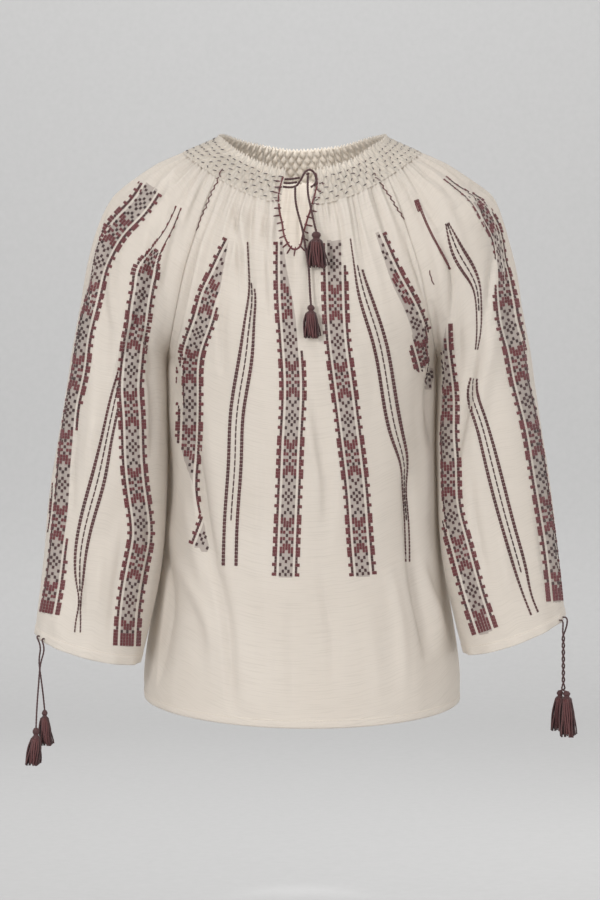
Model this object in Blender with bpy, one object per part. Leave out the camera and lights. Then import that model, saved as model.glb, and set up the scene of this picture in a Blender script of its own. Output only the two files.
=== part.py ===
# Embroidered peasant blouse with a smocked neck, raglan sleeves and drawn cuffs, in metres.
# +Z is up, the front faces -Y, and the origin lies between the wearer's shoulders.
import math
import bpy
import bmesh
import numpy as np
from mathutils import Vector

# Driving sizes
CLOTH = 0.0012            # wall of the cotton cloth
HEM_WALL = 0.0018         # wall where the lower hem is turned up
CASING_WALL = 0.0026      # wall of the cuff's drawstring casing
SEAM_GAP = 0.0003         # pieces stand this far apart at a seam
HEM_DEPTH = 0.008
CASING_DEPTH = 0.009
HEM_ROW_LENGTH = 0.033    # cloth between the last two stations of the body
CUFF_ROW_LENGTH = 0.0185  # and of a sleeve
ARMPIT = 6.0              # station of the underarm point in the row tables
LAST = 13.0               # station of the lower hem and of the cuff edge
YOKE_BLEND = 1.5          # stations over which a panel leaves the shape of the band

# Neck
NECK_HALF_WIDTH = 0.093
NECK_HALF_DEPTH = 0.080
YOKE_HALF_WIDTH = 0.130   # lower ring of the smocked band
YOKE_HALF_DEPTH = 0.106
RAGLAN_ANGLE = 45.0       # where the raglan seams leave the band, from front or back centre
PLEATS = 90
PLEAT_RAISE = 0.0018
PLEAT_SWAY = 0.22         # sideways lean of a pleat to its neighbour, in pleat pitches
SMOCK_WALL = 0.0013
SMOCK_ROWS = 5
LIP_TOP = (-0.0185, 0.0135)      # x of the two lips of the slit at the neck edge
LIP_LOW = (-0.0238, 0.0100)      # and at the lower ring

# Cords and tassels
TIE_DIAMETER = 0.0020
CUFF_CORD_DIAMETER = 0.0015
CORD_STEP = 2.8           # spacing of a cord's points in diameters
STRAND_GAP = 0.00022

# Seams and centre lines from the neck to the armpit, a row for each station:
# front seam x, y, z, back seam x, y, z, shoulder ridge x, y, z, sleeve half depth
RAGLAN_ROWS = [
    (0.0919, -0.079, -0.0197, 0.0919, 0.071, 0.0005, 0.1300, -0.004, 0.0115, 0.0755),
    (0.1040, -0.086, -0.0520, 0.1050, 0.085, -0.0330, 0.1630, -0.002, -0.0055, 0.0880),
    (0.1150, -0.090, -0.0860, 0.1170, 0.093, -0.0720, 0.1920, 0.000, -0.0250, 0.0955),
    (0.1255, -0.090, -0.1210, 0.1275, 0.094, -0.1110, 0.2105, 0.002, -0.0460, 0.0965),
    (0.1340, -0.080, -0.1580, 0.1365, 0.083, -0.1510, 0.2235, 0.003, -0.0770, 0.0910),
    (0.1415, -0.052, -0.1910, 0.1435, 0.052, -0.1870, 0.2345, 0.003, -0.1150, 0.0820),
    (0.1480, -0.004, -0.2130, 0.1480, -0.004, -0.2130, 0.2445, 0.001, -0.1600, 0.0750),
]

# Body, a row for each station: front centre y, z, back centre y, z, arc half angle in degrees
BODY_CENTRES = [
    (-0.1100, -0.0533, 0.1020, -0.0100, 45.0),
    (-0.1155, -0.0830, 0.1070, -0.0500, 48.0),
    (-0.1200, -0.1130, 0.1100, -0.0900, 52.0),
    (-0.1245, -0.1430, 0.1115, -0.1260, 57.0),
    (-0.1280, -0.1720, 0.1120, -0.1600, 64.0),
    (-0.1300, -0.1970, 0.1120, -0.1900, 75.0),
    (-0.1305, -0.2190, 0.1120, -0.2160, 90.0),
    (-0.1290, -0.2700, 0.1100, -0.2680, 90.0),
    (-0.1260, -0.3300, 0.1080, -0.3280, 90.0),
    (-0.1230, -0.3950, 0.1090, -0.3930, 90.0),
    (-0.1220, -0.4570, 0.1120, -0.4550, 90.0),
    (-0.1235, -0.5200, 0.1160, -0.5170, 90.0),
    (-0.1250, -0.5730, 0.1200, -0.5690, 90.0),
    (-0.1260, -0.6080, 0.1220, -0.6010, 90.0),
]

# Side seam below the armpit, a row for each station from the armpit down: x, y, z
SIDE_ROWS = [
    (0.1480, -0.004, -0.2130),
    (0.1470, 0.003, -0.2650),
    (0.1480, 0.008, -0.3250),
    (0.1510, 0.012, -0.3900),
    (0.1575, 0.014, -0.4500),
    (0.1675, 0.012, -0.5100),
    (0.1735, 0.008, -0.5560),
    (0.1730, 0.005, -0.5830),
]

# Sleeve below the armpit, a row for each station from the armpit down:
# ridge x, z, underarm x, z, centre y, half depth
SLEEVE_ROWS = [
    (0.2445, -0.1600, 0.1480, -0.2130, -0.0015, 0.0750),
    (0.2550, -0.2220, 0.1485, -0.2620, -0.0050, 0.0695),
    (0.2640, -0.2830, 0.1480, -0.3200, -0.0140, 0.0650),
    (0.2725, -0.3430, 0.1497, -0.3800, -0.0220, 0.0615),
    (0.2785, -0.4030, 0.1545, -0.4380, -0.0290, 0.0590),
    (0.2835, -0.4520, 0.1640, -0.4870, -0.0330, 0.0580),
    (0.2868, -0.4830, 0.1702, -0.5170, -0.0350, 0.0560),
    (0.2885, -0.5010, 0.1755, -0.5370, -0.0360, 0.0550),
]
CUFF_DIP = 0.009          # how much lower the front of the cuff hangs than its back

# How each sleeve differs from the even one: side, outward lean at the shoulder and at the cuff,
# rise of the cuff's outer end
SLEEVE_SIDES = {
    "sleeve_right": (-1.0, 0.0003, 0.0008, -0.011),
    "sleeve_left": (1.0, 0.0022, -0.0030, 0.009),
}
INNER_SHARE = 0.5         # share of that rise at the cuff's inner end
HEM_TILT = 0.002          # how much the lower hem rises on the wearer's right

# Large folds, a row for each: first and last station, place across at each end (-1 to 1),
# half width across, height (a trough is negative)
FRONT_FOLDS = [
    (5.5, 12.6, -0.66, -0.30, 0.055, -0.0042),
    (6.2, 12.8, -0.55, -0.20, 0.070, 0.0040),
    (7.6, 11.4, 0.56, 0.60, 0.045, -0.0050),
    (7.4, 12.4, 0.68, 0.74, 0.055, 0.0038),
    (9.6, 12.9, 0.47, 0.50, 0.060, 0.0030),
    (6.4, 9.6, 0.02, 0.00, 0.070, 0.0030),
    (9.2, 13.0, -0.82, -0.76, 0.050, -0.0032),
    (5.2, 8.2, -0.90, -0.62, 0.060, -0.0036),
    (5.2, 8.6, 0.90, 0.64, 0.060, -0.0036),
    (2.2, 7.5, -0.22, -0.18, 0.060, 0.0026),
    (2.4, 8.4, 0.30, 0.36, 0.055, -0.0026),
]
BACK_FOLDS = [
    (1.5, 8.5, -0.30, -0.24, 0.080, -0.0036),
    (2.0, 10.5, 0.26, 0.18, 0.070, -0.0034),
    (1.0, 9.5, 0.02, -0.06, 0.080, 0.0040),
    (6.0, 12.8, -0.60, -0.42, 0.070, -0.0040),
    (6.4, 12.9, 0.58, 0.46, 0.070, -0.0040),
    (9.0, 13.0, -0.12, -0.10, 0.080, 0.0036),
    (5.3, 8.6, 0.88, 0.62, 0.060, -0.0034),
    (5.3, 8.4, -0.88, -0.64, 0.060, -0.0034),
]
SLEEVE_RIGHT_FOLDS = [
    (0.8, 5.2, -0.36, -0.46, 0.055, -0.0036),
    (2.4, 8.6, -0.18, -0.42, 0.050, 0.0046),
    (2.6, 8.8, -0.28, -0.52, 0.045, -0.0050),
    (4.6, 9.0, -0.62, -0.30, 0.060, 0.0038),
    (8.4, 11.6, -0.66, -0.30, 0.055, -0.0030),
    (9.6, 12.8, -0.20, -0.34, 0.060, 0.0030),
    (3.0, 9.5, 0.34, 0.46, 0.060, -0.0042),
    (7.0, 12.4, 0.62, 0.40, 0.060, 0.0036),
]
SLEEVE_LEFT_FOLDS = [
    (0.8, 4.8, -0.30, -0.40, 0.055, -0.0036),
    (1.8, 7.4, -0.16, -0.34, 0.045, -0.0052),
    (2.0, 7.8, -0.06, -0.24, 0.050, 0.0044),
    (4.4, 8.4, -0.60, -0.34, 0.060, 0.0038),
    (2.8, 5.6, 0.02, -0.12, 0.045, -0.0034),
    (8.2, 12.0, -0.58, -0.36, 0.055, -0.0030),
    (3.2, 9.4, 0.32, 0.44, 0.060, -0.0042),
    (7.4, 12.6, 0.60, 0.42, 0.060, 0.0036),
]
# Gathers below the band: how many, height, reach in stations
GATHERS = {
    "front": (14, 0.0025, 3.4),
    "back": (12, 0.0025, 3.6),
    "sleeve_right": (12, 0.0026, 3.2),
    "sleeve_left": (12, 0.0026, 3.2),
}
CUFF_PUCKERS = 12
CUFF_PUCKER_HEIGHT = 0.0010
CUFF_PUCKER_START = 11.2  # station where the puckers begin

# Slit at the front neck, right round from the left lip to the right one: x, z
SLIT_OUTLINE = [
    (-0.0215, -0.020), (-0.0240, -0.048), (-0.0229, -0.061), (-0.0203, -0.0735),
    (-0.0181, -0.086), (-0.0149, -0.0937), (-0.0115, -0.0979), (-0.0064, -0.0995),
    (-0.0022, -0.0958), (0.0000, -0.0873), (0.0020, -0.0777), (0.0052, -0.0671),
    (0.0084, -0.0565), (0.0112, -0.0459), (0.0130, -0.0353), (0.0135, -0.020),
]

SLIT_CUTTER_Y = -0.112    # middle of the cutter, which passes the front wall alone
SLIT_CUTTER_REACH = 0.020

# Tie routes: x, y, z
TIE_ROUTES = {
    "tie_lacing": [
        (-0.0200, -0.0921, -0.0322), (-0.0130, -0.0960, -0.0332), (-0.0065, -0.0972, -0.0318),
        (-0.0024, -0.0955, -0.0268), (0.0008, -0.0925, -0.0210), (0.0042, -0.0890, -0.0155),
        (0.0085, -0.0872, -0.0136), (0.0124, -0.0868, -0.0162), (0.0148, -0.0887, -0.0222),
        (0.0148, -0.0930, -0.0280), (0.0095, -0.0955, -0.0330),
    ],
    "tie_strand_upper": [
        (-0.0186, -0.0853, -0.0235), (-0.0110, -0.0895, -0.0236), (-0.0025, -0.0922, -0.0225),
    ],
    "tie_strand_middle": [
        (-0.0193, -0.0886, -0.0278), (-0.0130, -0.0925, -0.0284), (-0.0053, -0.0950, -0.0275),
    ],
    "tie_end_long": [
        (-0.0072, -0.0973, -0.0334), (-0.0072, -0.1050, -0.0435), (-0.0055, -0.1135, -0.0573),
        (-0.0022, -0.1180, -0.0700), (0.0010, -0.1205, -0.0827), (0.0031, -0.1228, -0.0964),
        (0.0062, -0.1258, -0.1144), (0.0082, -0.1312, -0.1441), (0.0094, -0.1350, -0.1612),
    ],
    "tie_end_short": [
        (0.0064, -0.0898, -0.0204), (0.0060, -0.0970, -0.0300), (0.0066, -0.1060, -0.0420),
        (0.0088, -0.1142, -0.0541), (0.0116, -0.1196, -0.0679), (0.0150, -0.1256, -0.0832),
    ],
}
KNOT_PLACE = (0.0062, -0.0895, -0.0181)
KNOT_HALF_SIZE = (0.0016, 0.0016, 0.0019)

# Cuff cords: sleeve, place across where each leaves the casing, then the route below that
# point: x, y, z from it
CASING_EXIT = 12.78       # station of the holes in the casing
CUFF_ROUTES = {
    "cuff_cord_right_a": ("sleeve_right", -0.165, [
        (0.0000, -0.0030, -0.0060), (0.0005, -0.0036, -0.0220), (0.0018, -0.0036, -0.0420),
        (0.0044, -0.0036, -0.0620), (0.0062, -0.0036, -0.0800),
    ]),
    "cuff_cord_right_b": ("sleeve_right", -0.215, [
        (-0.0006, -0.0040, -0.0060), (-0.0024, -0.0052, -0.0220), (-0.0052, -0.0060, -0.0440),
        (-0.0070, -0.0066, -0.0690), (-0.0082, -0.0070, -0.0955),
    ]),
}
TWISTED_CORDS = {
    "cuff_cord_left_a": ("sleeve_left", -0.190, 0.0),
    "cuff_cord_left_b": ("sleeve_left", -0.140, 1.0),
}
TWIST_PLACE = -0.165      # place across between the two cords
TWIST_DROP = 0.018        # from the casing to where the two cords start to twist
TWIST_LENGTH = 0.060
TWIST_TURNS = 4.08
TWIST_RADIUS = 0.00115
TWIST_STEP = 0.0021       # close points, so that the two cords stay apart
TWIST_OUT = (-0.0004, -0.0030)

# Tassels: cord, head length, skirt length, skirt half width, lean of the skirt sideways, forward
TASSELS = {
    "tassel_tie_long": ("tie_end_long", 0.0085, 0.0270, 0.0078, 0.0012, -0.0030),
    "tassel_tie_short": ("tie_end_short", 0.0100, 0.0290, 0.0098, 0.0016, -0.0060),
    "tassel_cuff_right_a": ("cuff_cord_right_a", 0.0085, 0.0300, 0.0062, 0.0025, 0.0),
    "tassel_cuff_right_b": ("cuff_cord_right_b", 0.0110, 0.0300, 0.0074, -0.0035, 0.0),
    "tassel_cuff_left_a": ("cuff_cord_left_a", 0.0080, 0.0410, 0.0080, 0.0012, -0.0050),
    "tassel_cuff_left_b": ("cuff_cord_left_b", 0.0080, 0.0360, 0.0072, -0.0020, 0.0020),
}
TASSEL_SIDES = 8
TASSEL_FLATNESS = 0.72    # depth of a skirt beside its width
CAP_GAP = 0.0007          # from the casing to the middle of a cord's end
LEFT_TASSEL_SPREAD = 0.0052

COTTON_COLOUR = (0.73, 0.69, 0.62, 1.0)
SMOCK_COLOUR = (0.70, 0.65, 0.57, 1.0)
THREAD_COLOUR = (0.085, 0.018, 0.020, 1.0)


# Smooth curves through table columns
def spline(values, at, knots=None):
    """Natural cubic through values at knots (0, 1, 2 and so on when none are given)."""
    values = np.asarray(values, float)
    count = len(values)
    knots = np.arange(count, dtype=float) if knots is None else np.asarray(knots, float)
    gap = np.diff(knots)
    slope = (values[1:] - values[:-1]) / (gap[:, None] if values.ndim > 1 else gap)
    matrix = np.eye(count)
    right = np.zeros_like(values)
    for k in range(1, count - 1):
        matrix[k, k - 1:k + 2] = (gap[k - 1], 2.0 * (gap[k - 1] + gap[k]), gap[k])
        right[k] = 6.0 * (slope[k] - slope[k - 1])
    bend = np.linalg.solve(matrix, right)
    at = np.clip(np.asarray(at, float), knots[0], knots[-1])
    low = np.clip(np.searchsorted(knots, at, side="right") - 1, 0, count - 2)
    h = gap[low]
    f = (at - knots[low]) / h
    if values.ndim > 1:
        f = f[..., None]
        h = h[..., None]
    a = values[low] * (1 - f) + values[low + 1] * f
    b = ((1 - f) ** 3 - (1 - f)) * bend[low] + (f ** 3 - f) * bend[low + 1]
    return a + b * h * h / 6.0


def smooth_route(points, step):
    """Evenly spaced points along the smooth curve through a cord's route."""
    points = np.asarray(points, float)
    legs = np.linalg.norm(np.diff(points, axis=0), axis=1)
    knots = np.concatenate([[0.0], np.cumsum(legs)])
    fine = spline(points, np.linspace(0.0, knots[-1], 800), knots)
    walked = np.concatenate([[0.0], np.cumsum(np.linalg.norm(np.diff(fine, axis=0), axis=1))])
    count = max(3, int(round(walked[-1] / step)) + 1)
    places = np.linspace(0.0, walked[-1], count)
    return np.stack([np.interp(places, walked, fine[:, k]) for k in range(3)], axis=1)


# Forms of the garment
def yoke_ring(angle):
    """Lower ring of the smocked band, angle in radians from the front centre."""
    return np.stack([
        YOKE_HALF_WIDTH * np.sin(angle),
        -0.004 - YOKE_HALF_DEPTH * np.cos(angle),
        -0.0098 - 0.018 * np.cos(angle) - 0.0218 * np.cos(2 * angle) - 0.0035 * np.cos(3 * angle),
    ], axis=-1)


def neck_ring(angle):
    """Top edge of the smocked band."""
    return np.stack([
        NECK_HALF_WIDTH * np.sin(angle),
        -0.005 - NECK_HALF_DEPTH * np.cos(angle),
        0.0135 - 0.0215 * np.cos(angle) - 0.014 * np.cos(2 * angle),
    ], axis=-1)


def yoke_normal(angle):
    """Outward direction of the band at its lower ring."""
    step = 1e-4
    along = yoke_ring(angle + step) - yoke_ring(angle - step)
    down = yoke_ring(angle) - neck_ring(angle)
    normal = np.cross(down, along)
    return normal / np.linalg.norm(normal, axis=-1, keepdims=True)


def seam_curve(stations, back):
    """Raglan seam and, past the armpit, side seam of the +X side."""
    columns = [row[3:6] if back else row[0:3] for row in RAGLAN_ROWS]
    upper = spline(columns, np.minimum(stations, ARMPIT))
    lower = spline(SIDE_ROWS, np.maximum(stations - ARMPIT, 0.0))
    return np.where((stations <= ARMPIT)[..., None], upper, lower)


def body_grid(stations, across, back):
    """Points of the front or back, rows from neck to hem and columns from -X to +X."""
    edge = seam_curve(stations, back)
    centres = spline(BODY_CENTRES, stations)
    centre_y = centres[:, 2] if back else centres[:, 0]
    centre_z = centres[:, 3] if back else centres[:, 1]
    angle = np.radians(np.minimum(centres[:, 4], 90.0))[:, None]
    s = across[None, :]
    x = edge[:, 0:1] * np.sin(s * angle) / np.sin(angle)
    share = (np.cos(s * angle) - np.cos(angle)) / (1.0 - np.cos(angle))
    y = edge[:, 1:2] + (centre_y[:, None] - edge[:, 1:2]) * share
    z = edge[:, 2:3] + (centre_z[:, None] - edge[:, 2:3]) * share
    below = np.clip((stations - ARMPIT) / (LAST - ARMPIT), 0.0, 1.0)[:, None]
    z = z - HEM_TILT * below ** 2 * x / edge[-1, 0]
    grid = np.stack([x, y, z], axis=-1)
    turn = math.radians(RAGLAN_ANGLE)
    ring_angle = math.pi - across * turn if back else across * turn
    blend = np.clip(1.0 - stations / YOKE_BLEND, 0.0, 1.0) ** 2
    offset = yoke_ring(ring_angle) - grid[0]
    return grid + blend[:, None, None] * offset[None, :, :]


def sleeve_grid(stations, across, shoulder, lean, rise):
    """Points of the +X sleeve, columns from the front edge (-1) round the ridge to the back (1)."""
    upper = spline(RAGLAN_ROWS, np.minimum(stations, ARMPIT))
    lower = spline(SLEEVE_ROWS, np.maximum(stations - ARMPIT, 0.0))
    is_tube = (stations > ARMPIT)[:, None]
    under = np.stack([lower[:, 2], lower[:, 4], lower[:, 3]], axis=-1)
    front = np.where(is_tube, under, upper[:, 0:3])
    rear = np.where(is_tube, under, upper[:, 3:6])
    tube_ridge = np.stack([lower[:, 0], lower[:, 4], lower[:, 1]], axis=-1)
    ridge = np.where(is_tube, tube_ridge, upper[:, 6:9])
    depth = np.where(is_tube[:, 0], lower[:, 5], upper[:, 9])
    fade = np.clip((stations - 1.0) / (LAST - 1.0), 0.0, 1.0)
    ridge[:, 0] += lean * np.sin(0.5 * math.pi * fade)
    ridge[:, 0] += shoulder * np.sin(math.pi * np.clip(stations / ARMPIT, 0.0, 1.0))
    below = np.clip((stations - ARMPIT) / (LAST - ARMPIT), 0.0, 1.0)[:, None]
    half_span = 0.5 * np.linalg.norm(front - rear, axis=1)
    beta = np.arccos(np.clip(half_span / depth, 0.0, 1.0))
    beta = np.where(is_tube[:, 0], 0.5 * math.pi, beta)
    middle = 0.5 * (front + rear)
    outward = (ridge - middle) / (1.0 + np.sin(beta))[:, None]
    centre = ridge - outward
    forward = np.stack([np.zeros_like(depth), -depth, np.zeros_like(depth)], axis=-1)
    theta = 0.5 * math.pi + across[None, :] * (0.5 * math.pi + beta)[:, None]
    grid = (centre[:, None, :] + outward[:, None, :] * np.sin(theta)[..., None]
            + forward[:, None, :] * np.cos(theta)[..., None])
    tuck = centre - outward * np.sin(beta)[:, None]
    reach = forward * np.cos(beta)[:, None]
    front_error = (front - tuck - reach)[:, None, :]
    rear_error = (rear - tuck + reach)[:, None, :]
    to_front = (np.clip(-across, 0.0, 1.0) ** 2)[None, :, None]
    to_rear = (np.clip(across, 0.0, 1.0) ** 2)[None, :, None]
    grid = grid + front_error * to_front + rear_error * to_rear
    grid[..., 2] -= CUFF_DIP * below ** 2 * np.cos(theta)
    inner_weight = 0.5 * (1.0 - INNER_SHARE) * (1.0 - np.sin(theta))
    grid[..., 2] += rise * below * (1.0 - inner_weight)
    turn = math.radians(RAGLAN_ANGLE)
    ring_angle = 0.5 * math.pi + across * turn
    blend = np.clip(1.0 - stations / YOKE_BLEND, 0.0, 1.0) ** 2
    offset = yoke_ring(ring_angle) - grid[0]
    return grid + blend[:, None, None] * offset[None, :, :]


def folds_at(table, stations, across):
    """Height of the large folds over a grid of stations and places across."""
    t = stations[:, None]
    s = across[None, :]
    height = np.zeros((len(stations), len(across)))
    for first, last, start, end, width, rise in table:
        f = np.clip((t - first) / (last - first), 0.0, 1.0)
        run = np.sin(math.pi * f) ** 0.8
        line = start + (end - start) * f
        height += rise * run * np.exp(-((s - line) / width) ** 2)
    edge = np.clip((1.0 - np.abs(s)) / 0.10, 0.0, 1.0)
    return height * edge * np.clip(t / 0.8, 0.0, 1.0)


def gathers_at(name, stations, across):
    """Height of the fine gathers that run down from the band, uneven in length."""
    count, rise, reach = GATHERS[name]
    t = stations[:, None]
    s = across[None, :]
    wave = np.cos(math.pi * count * (s + 1.0))
    length = reach * (1.0 + 0.30 * np.sin(5.1 * s + 0.7) + 0.16 * np.sin(11.0 * s + 2.0))
    swell = (0.35 + 0.65 * np.clip(t / 0.8, 0.0, 1.0)) * np.exp(-(t / length) ** 2)
    edge = np.clip((1.0 - np.abs(s)) / 0.06, 0.0, 1.0)
    return rise * wave * swell * edge


def cuff_puckers_at(stations, across):
    """Puckers where the cord draws the cuff in."""
    t = stations[:, None]
    s = across[None, :]
    near = np.clip((t - CUFF_PUCKER_START) / (LAST - CUFF_PUCKER_START), 0.0, 1.0) ** 2
    edge = np.clip((1.0 - np.abs(s)) / 0.08, 0.0, 1.0)
    return CUFF_PUCKER_HEIGHT * np.cos(math.pi * CUFF_PUCKERS * (s + 1.0)) * near * edge


def grid_normals(grid):
    """Unit normals of a grid, pointing to the left of its rows seen from above."""
    down = np.gradient(grid, axis=0)
    along = np.gradient(grid, axis=1)
    normal = np.cross(down, along)
    return normal / np.maximum(np.linalg.norm(normal, axis=-1, keepdims=True), 1e-12)


def shared_normal(own, other):
    """Direction both walls take along a seam; where the cloth folds back, each keeps its own."""
    total = own + other
    size = np.linalg.norm(total, axis=-1, keepdims=True)
    total = total + own * np.clip(1.1 - size, 0.0, 1.0)
    return total / np.linalg.norm(total, axis=-1, keepdims=True)


# Meshes
def material(name, colour, roughness):
    made = bpy.data.materials.new(name)
    made.use_nodes = True
    shader = made.node_tree.nodes["Principled BSDF"]
    shader.inputs["Base Color"].default_value = colour
    shader.inputs["Roughness"].default_value = roughness
    shader.inputs["Metallic"].default_value = 0.0
    made.diffuse_color = colour
    return made


def add_object(name, mesh, look, collection):
    made = bpy.data.objects.new(name, mesh)
    mesh.materials.append(look)
    collection.objects.link(made)
    return made


def mesh_from(bm, name):
    bmesh.ops.recalc_face_normals(bm, faces=bm.faces)
    mesh = bpy.data.meshes.new(name)
    bm.to_mesh(mesh)
    bm.free()
    return mesh


def cloth_wall(name, outer, inner, look, collection, inner_rows=None):
    """Closed wall between an outer and an inner grid of the same columns."""
    rows, columns = outer.shape[:2]
    kept = range(rows) if inner_rows is None else inner_rows
    bm = bmesh.new()
    out = [[bm.verts.new(outer[i, j]) for j in range(columns)] for i in range(rows)]
    back = [[bm.verts.new(inner[i, j]) for j in range(columns)] for i in kept]
    for face_rows, flip in ((out, False), (back, True)):
        for i in range(len(face_rows) - 1):
            for j in range(columns - 1):
                quad = [face_rows[i][j], face_rows[i + 1][j],
                        face_rows[i + 1][j + 1], face_rows[i][j + 1]]
                bm.faces.new(quad[::-1] if flip else quad)
    for j in range(columns - 1):
        bm.faces.new([out[0][j], out[0][j + 1], back[0][j + 1], back[0][j]])
        bm.faces.new([out[-1][j + 1], out[-1][j], back[-1][j], back[-1][j + 1]])
    for column in (0, -1):
        outer_side = [out[i][column] for i in range(rows)]
        inner_side = [back[i][column] for i in range(len(back))]
        if len(inner_side) == len(outer_side):
            for i in range(rows - 1):
                bm.faces.new([outer_side[i], outer_side[i + 1], inner_side[i + 1], inner_side[i]])
        else:
            bm.faces.new(outer_side + inner_side[::-1])
    return add_object(name, mesh_from(bm, name), look, collection)


def row_stations(last_band):
    """Rows of the body and the sleeves; the last two close the hem or casing."""
    upper = np.array([0.0, 0.45, 1.0, 1.7, 2.5, 3.3, 4.1, 4.8, 5.4, 6.0])
    lower = np.array([6.6, 7.3, 8.1, 8.9, 9.7, 10.5, 11.3, 12.0])
    return np.concatenate([upper, lower, [LAST - last_band - 0.03, LAST - last_band, LAST]])


def wall_thickness(stations, band_start, band_wall):
    return np.where(stations >= band_start - 1e-6, band_wall, CLOTH)


def pull_back(grid, normals, column, reach):
    """Move one edge column into its own panel, square to the seam."""
    edge = grid[:, column]
    run = np.gradient(edge, axis=0)
    side = np.cross(run, normals[:, column])
    side /= np.linalg.norm(side, axis=-1, keepdims=True)
    inward = grid[:, 1 if column == 0 else -2] - edge
    sign = np.sign(np.sum(side * inward, axis=-1, keepdims=True))
    grid[:, column] = edge + side * sign * reach


def build_panels(looks, collection):
    """Front, back and both sleeves, whose walls share directions along every seam."""
    band = {"body": HEM_DEPTH / HEM_ROW_LENGTH, "sleeve": CASING_DEPTH / CUFF_ROW_LENGTH}
    body_rows = row_stations(band["body"])
    sleeve_rows = row_stations(band["sleeve"])
    across = {
        "front": np.linspace(-1.0, 1.0, 2 * GATHERS["front"][0] + 1),
        "back": np.linspace(-1.0, 1.0, 2 * GATHERS["back"][0] + 1),
        "sleeve": np.linspace(-1.0, 1.0, 2 * GATHERS["sleeve_left"][0] + 1),
    }
    grids = {
        "front": body_grid(body_rows, across["front"], False),
        "back": body_grid(body_rows, across["back"], True),
    }
    for name, (side, shoulder, lean, rise) in SLEEVE_SIDES.items():
        grids[name] = sleeve_grid(sleeve_rows, across["sleeve"], shoulder, lean, rise)
        if side < 0.0:
            grids[name][..., 0] *= -1.0
    normals = {
        "front": grid_normals(grids["front"]),
        "back": -grid_normals(grids["back"]),
        "sleeve_left": grid_normals(grids["sleeve_left"]),
        "sleeve_right": -grid_normals(grids["sleeve_right"]),
    }
    plain = {name: value.copy() for name, value in normals.items()}
    count = int(np.searchsorted(body_rows, ARMPIT)) + 1
    for name, edge in (("sleeve_right", 0), ("sleeve_left", -1)):
        for body, column in (("front", 0), ("back", -1)):
            own = plain[name][:count, column]
            other = plain[body][:count, edge]
            normals[name][:count, column] = shared_normal(own, other)
            normals[body][:count, edge] = shared_normal(other, own)
        tube = shared_normal(plain[name][count:, 0], plain[name][count:, -1])
        normals[name][count:, 0] = tube
        normals[name][count:, -1] = tube
        side_run = shared_normal(plain["front"][count:, edge], plain["back"][count:, edge])
        normals["front"][count:, edge] = side_run
        normals["back"][count:, edge] = side_run
        corner = normals["front"][count - 1, edge] + normals["back"][count - 1, edge]
        corner /= np.linalg.norm(corner)
        normals["front"][count - 1, edge] = corner
        normals["back"][count - 1, edge] = corner
        fold = normals[name][count - 1, 0] + normals[name][count - 1, -1]
        fold /= np.linalg.norm(fold)
        normals[name][count - 1, 0] = fold
        normals[name][count - 1, -1] = fold
    turn = math.radians(RAGLAN_ANGLE)
    ring_angles = {
        "front": across["front"] * turn,
        "back": math.pi - across["back"] * turn,
        "sleeve_left": 0.5 * math.pi + across["sleeve"] * turn,
        "sleeve_right": -0.5 * math.pi - across["sleeve"] * turn,
    }
    folds = {
        "front": FRONT_FOLDS,
        "back": BACK_FOLDS,
        "sleeve_right": SLEEVE_RIGHT_FOLDS,
        "sleeve_left": SLEEVE_LEFT_FOLDS,
    }
    for name, grid in grids.items():
        is_sleeve = name.startswith("sleeve")
        stations = sleeve_rows if is_sleeve else body_rows
        places = across["sleeve" if is_sleeve else name]
        normals[name][0] = yoke_normal(ring_angles[name])
        pull_back(grid, normals[name], 0, 0.5 * SEAM_GAP)
        pull_back(grid, normals[name], -1, 0.5 * SEAM_GAP)
        height = folds_at(folds[name], stations, places) + gathers_at(name, stations, places)
        if is_sleeve:
            height = height + cuff_puckers_at(stations, places)
        down = grid[1] - grid[0]
        grid[0] += down / np.linalg.norm(down, axis=-1, keepdims=True) * SEAM_GAP
        outer = grid + normals[name] * height[..., None]
        depth = band["sleeve" if is_sleeve else "body"]
        thick = wall_thickness(stations, LAST - depth, CASING_WALL if is_sleeve else HEM_WALL)
        proud = 0.5 * (thick - CLOTH)
        outer = outer + normals[name] * proud[:, None, None]
        inner = outer - normals[name] * thick[:, None, None]
        cloth_wall(name, outer, inner, looks["cotton"], collection)


def build_smocking(look, collection):
    """Pleated band with a plain inside, open at the front slit."""
    columns = 2 * PLEATS + 1
    f = np.linspace(0.0, 1.0, columns)
    levels = np.linspace(0.0, 1.0, SMOCK_ROWS)
    pitch = 1.0 / PLEATS
    outer = np.zeros((SMOCK_ROWS, columns, 3))
    inner = np.zeros((SMOCK_ROWS, columns, 3))
    for i, level in enumerate(levels):
        lips = [LIP_TOP[k] * (1 - level) + LIP_LOW[k] * level for k in (0, 1)]
        half_width = NECK_HALF_WIDTH * (1 - level) + YOKE_HALF_WIDTH * level
        first = math.asin(lips[1] / half_width)
        last = 2.0 * math.pi + math.asin(lips[0] / half_width)
        sway = np.zeros(columns)
        for j in range(1, columns - 1, 2):
            sway[j] = PLEAT_SWAY * pitch * (1.0 if (j // 2 + i) % 2 else -1.0)
        if i in (0, SMOCK_ROWS - 1):
            sway *= 0.3
        angle = first + (last - first) * (f + sway)
        plain_angle = first + (last - first) * f
        base = neck_ring(plain_angle) * (1 - level) + yoke_ring(plain_angle) * level
        swayed = neck_ring(angle) * (1 - level) + yoke_ring(angle) * level
        normal = yoke_normal(plain_angle)
        raised = np.where(np.arange(columns) % 2 == 1, PLEAT_RAISE, 0.0)
        if i == SMOCK_ROWS - 1:
            raised = raised * 0.4
        outer[i] = swayed + normal * raised[:, None]
        inner[i] = base - normal * SMOCK_WALL
    cloth_wall("neck_smocking", outer, inner, look, collection, (0, SMOCK_ROWS - 1))


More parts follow.
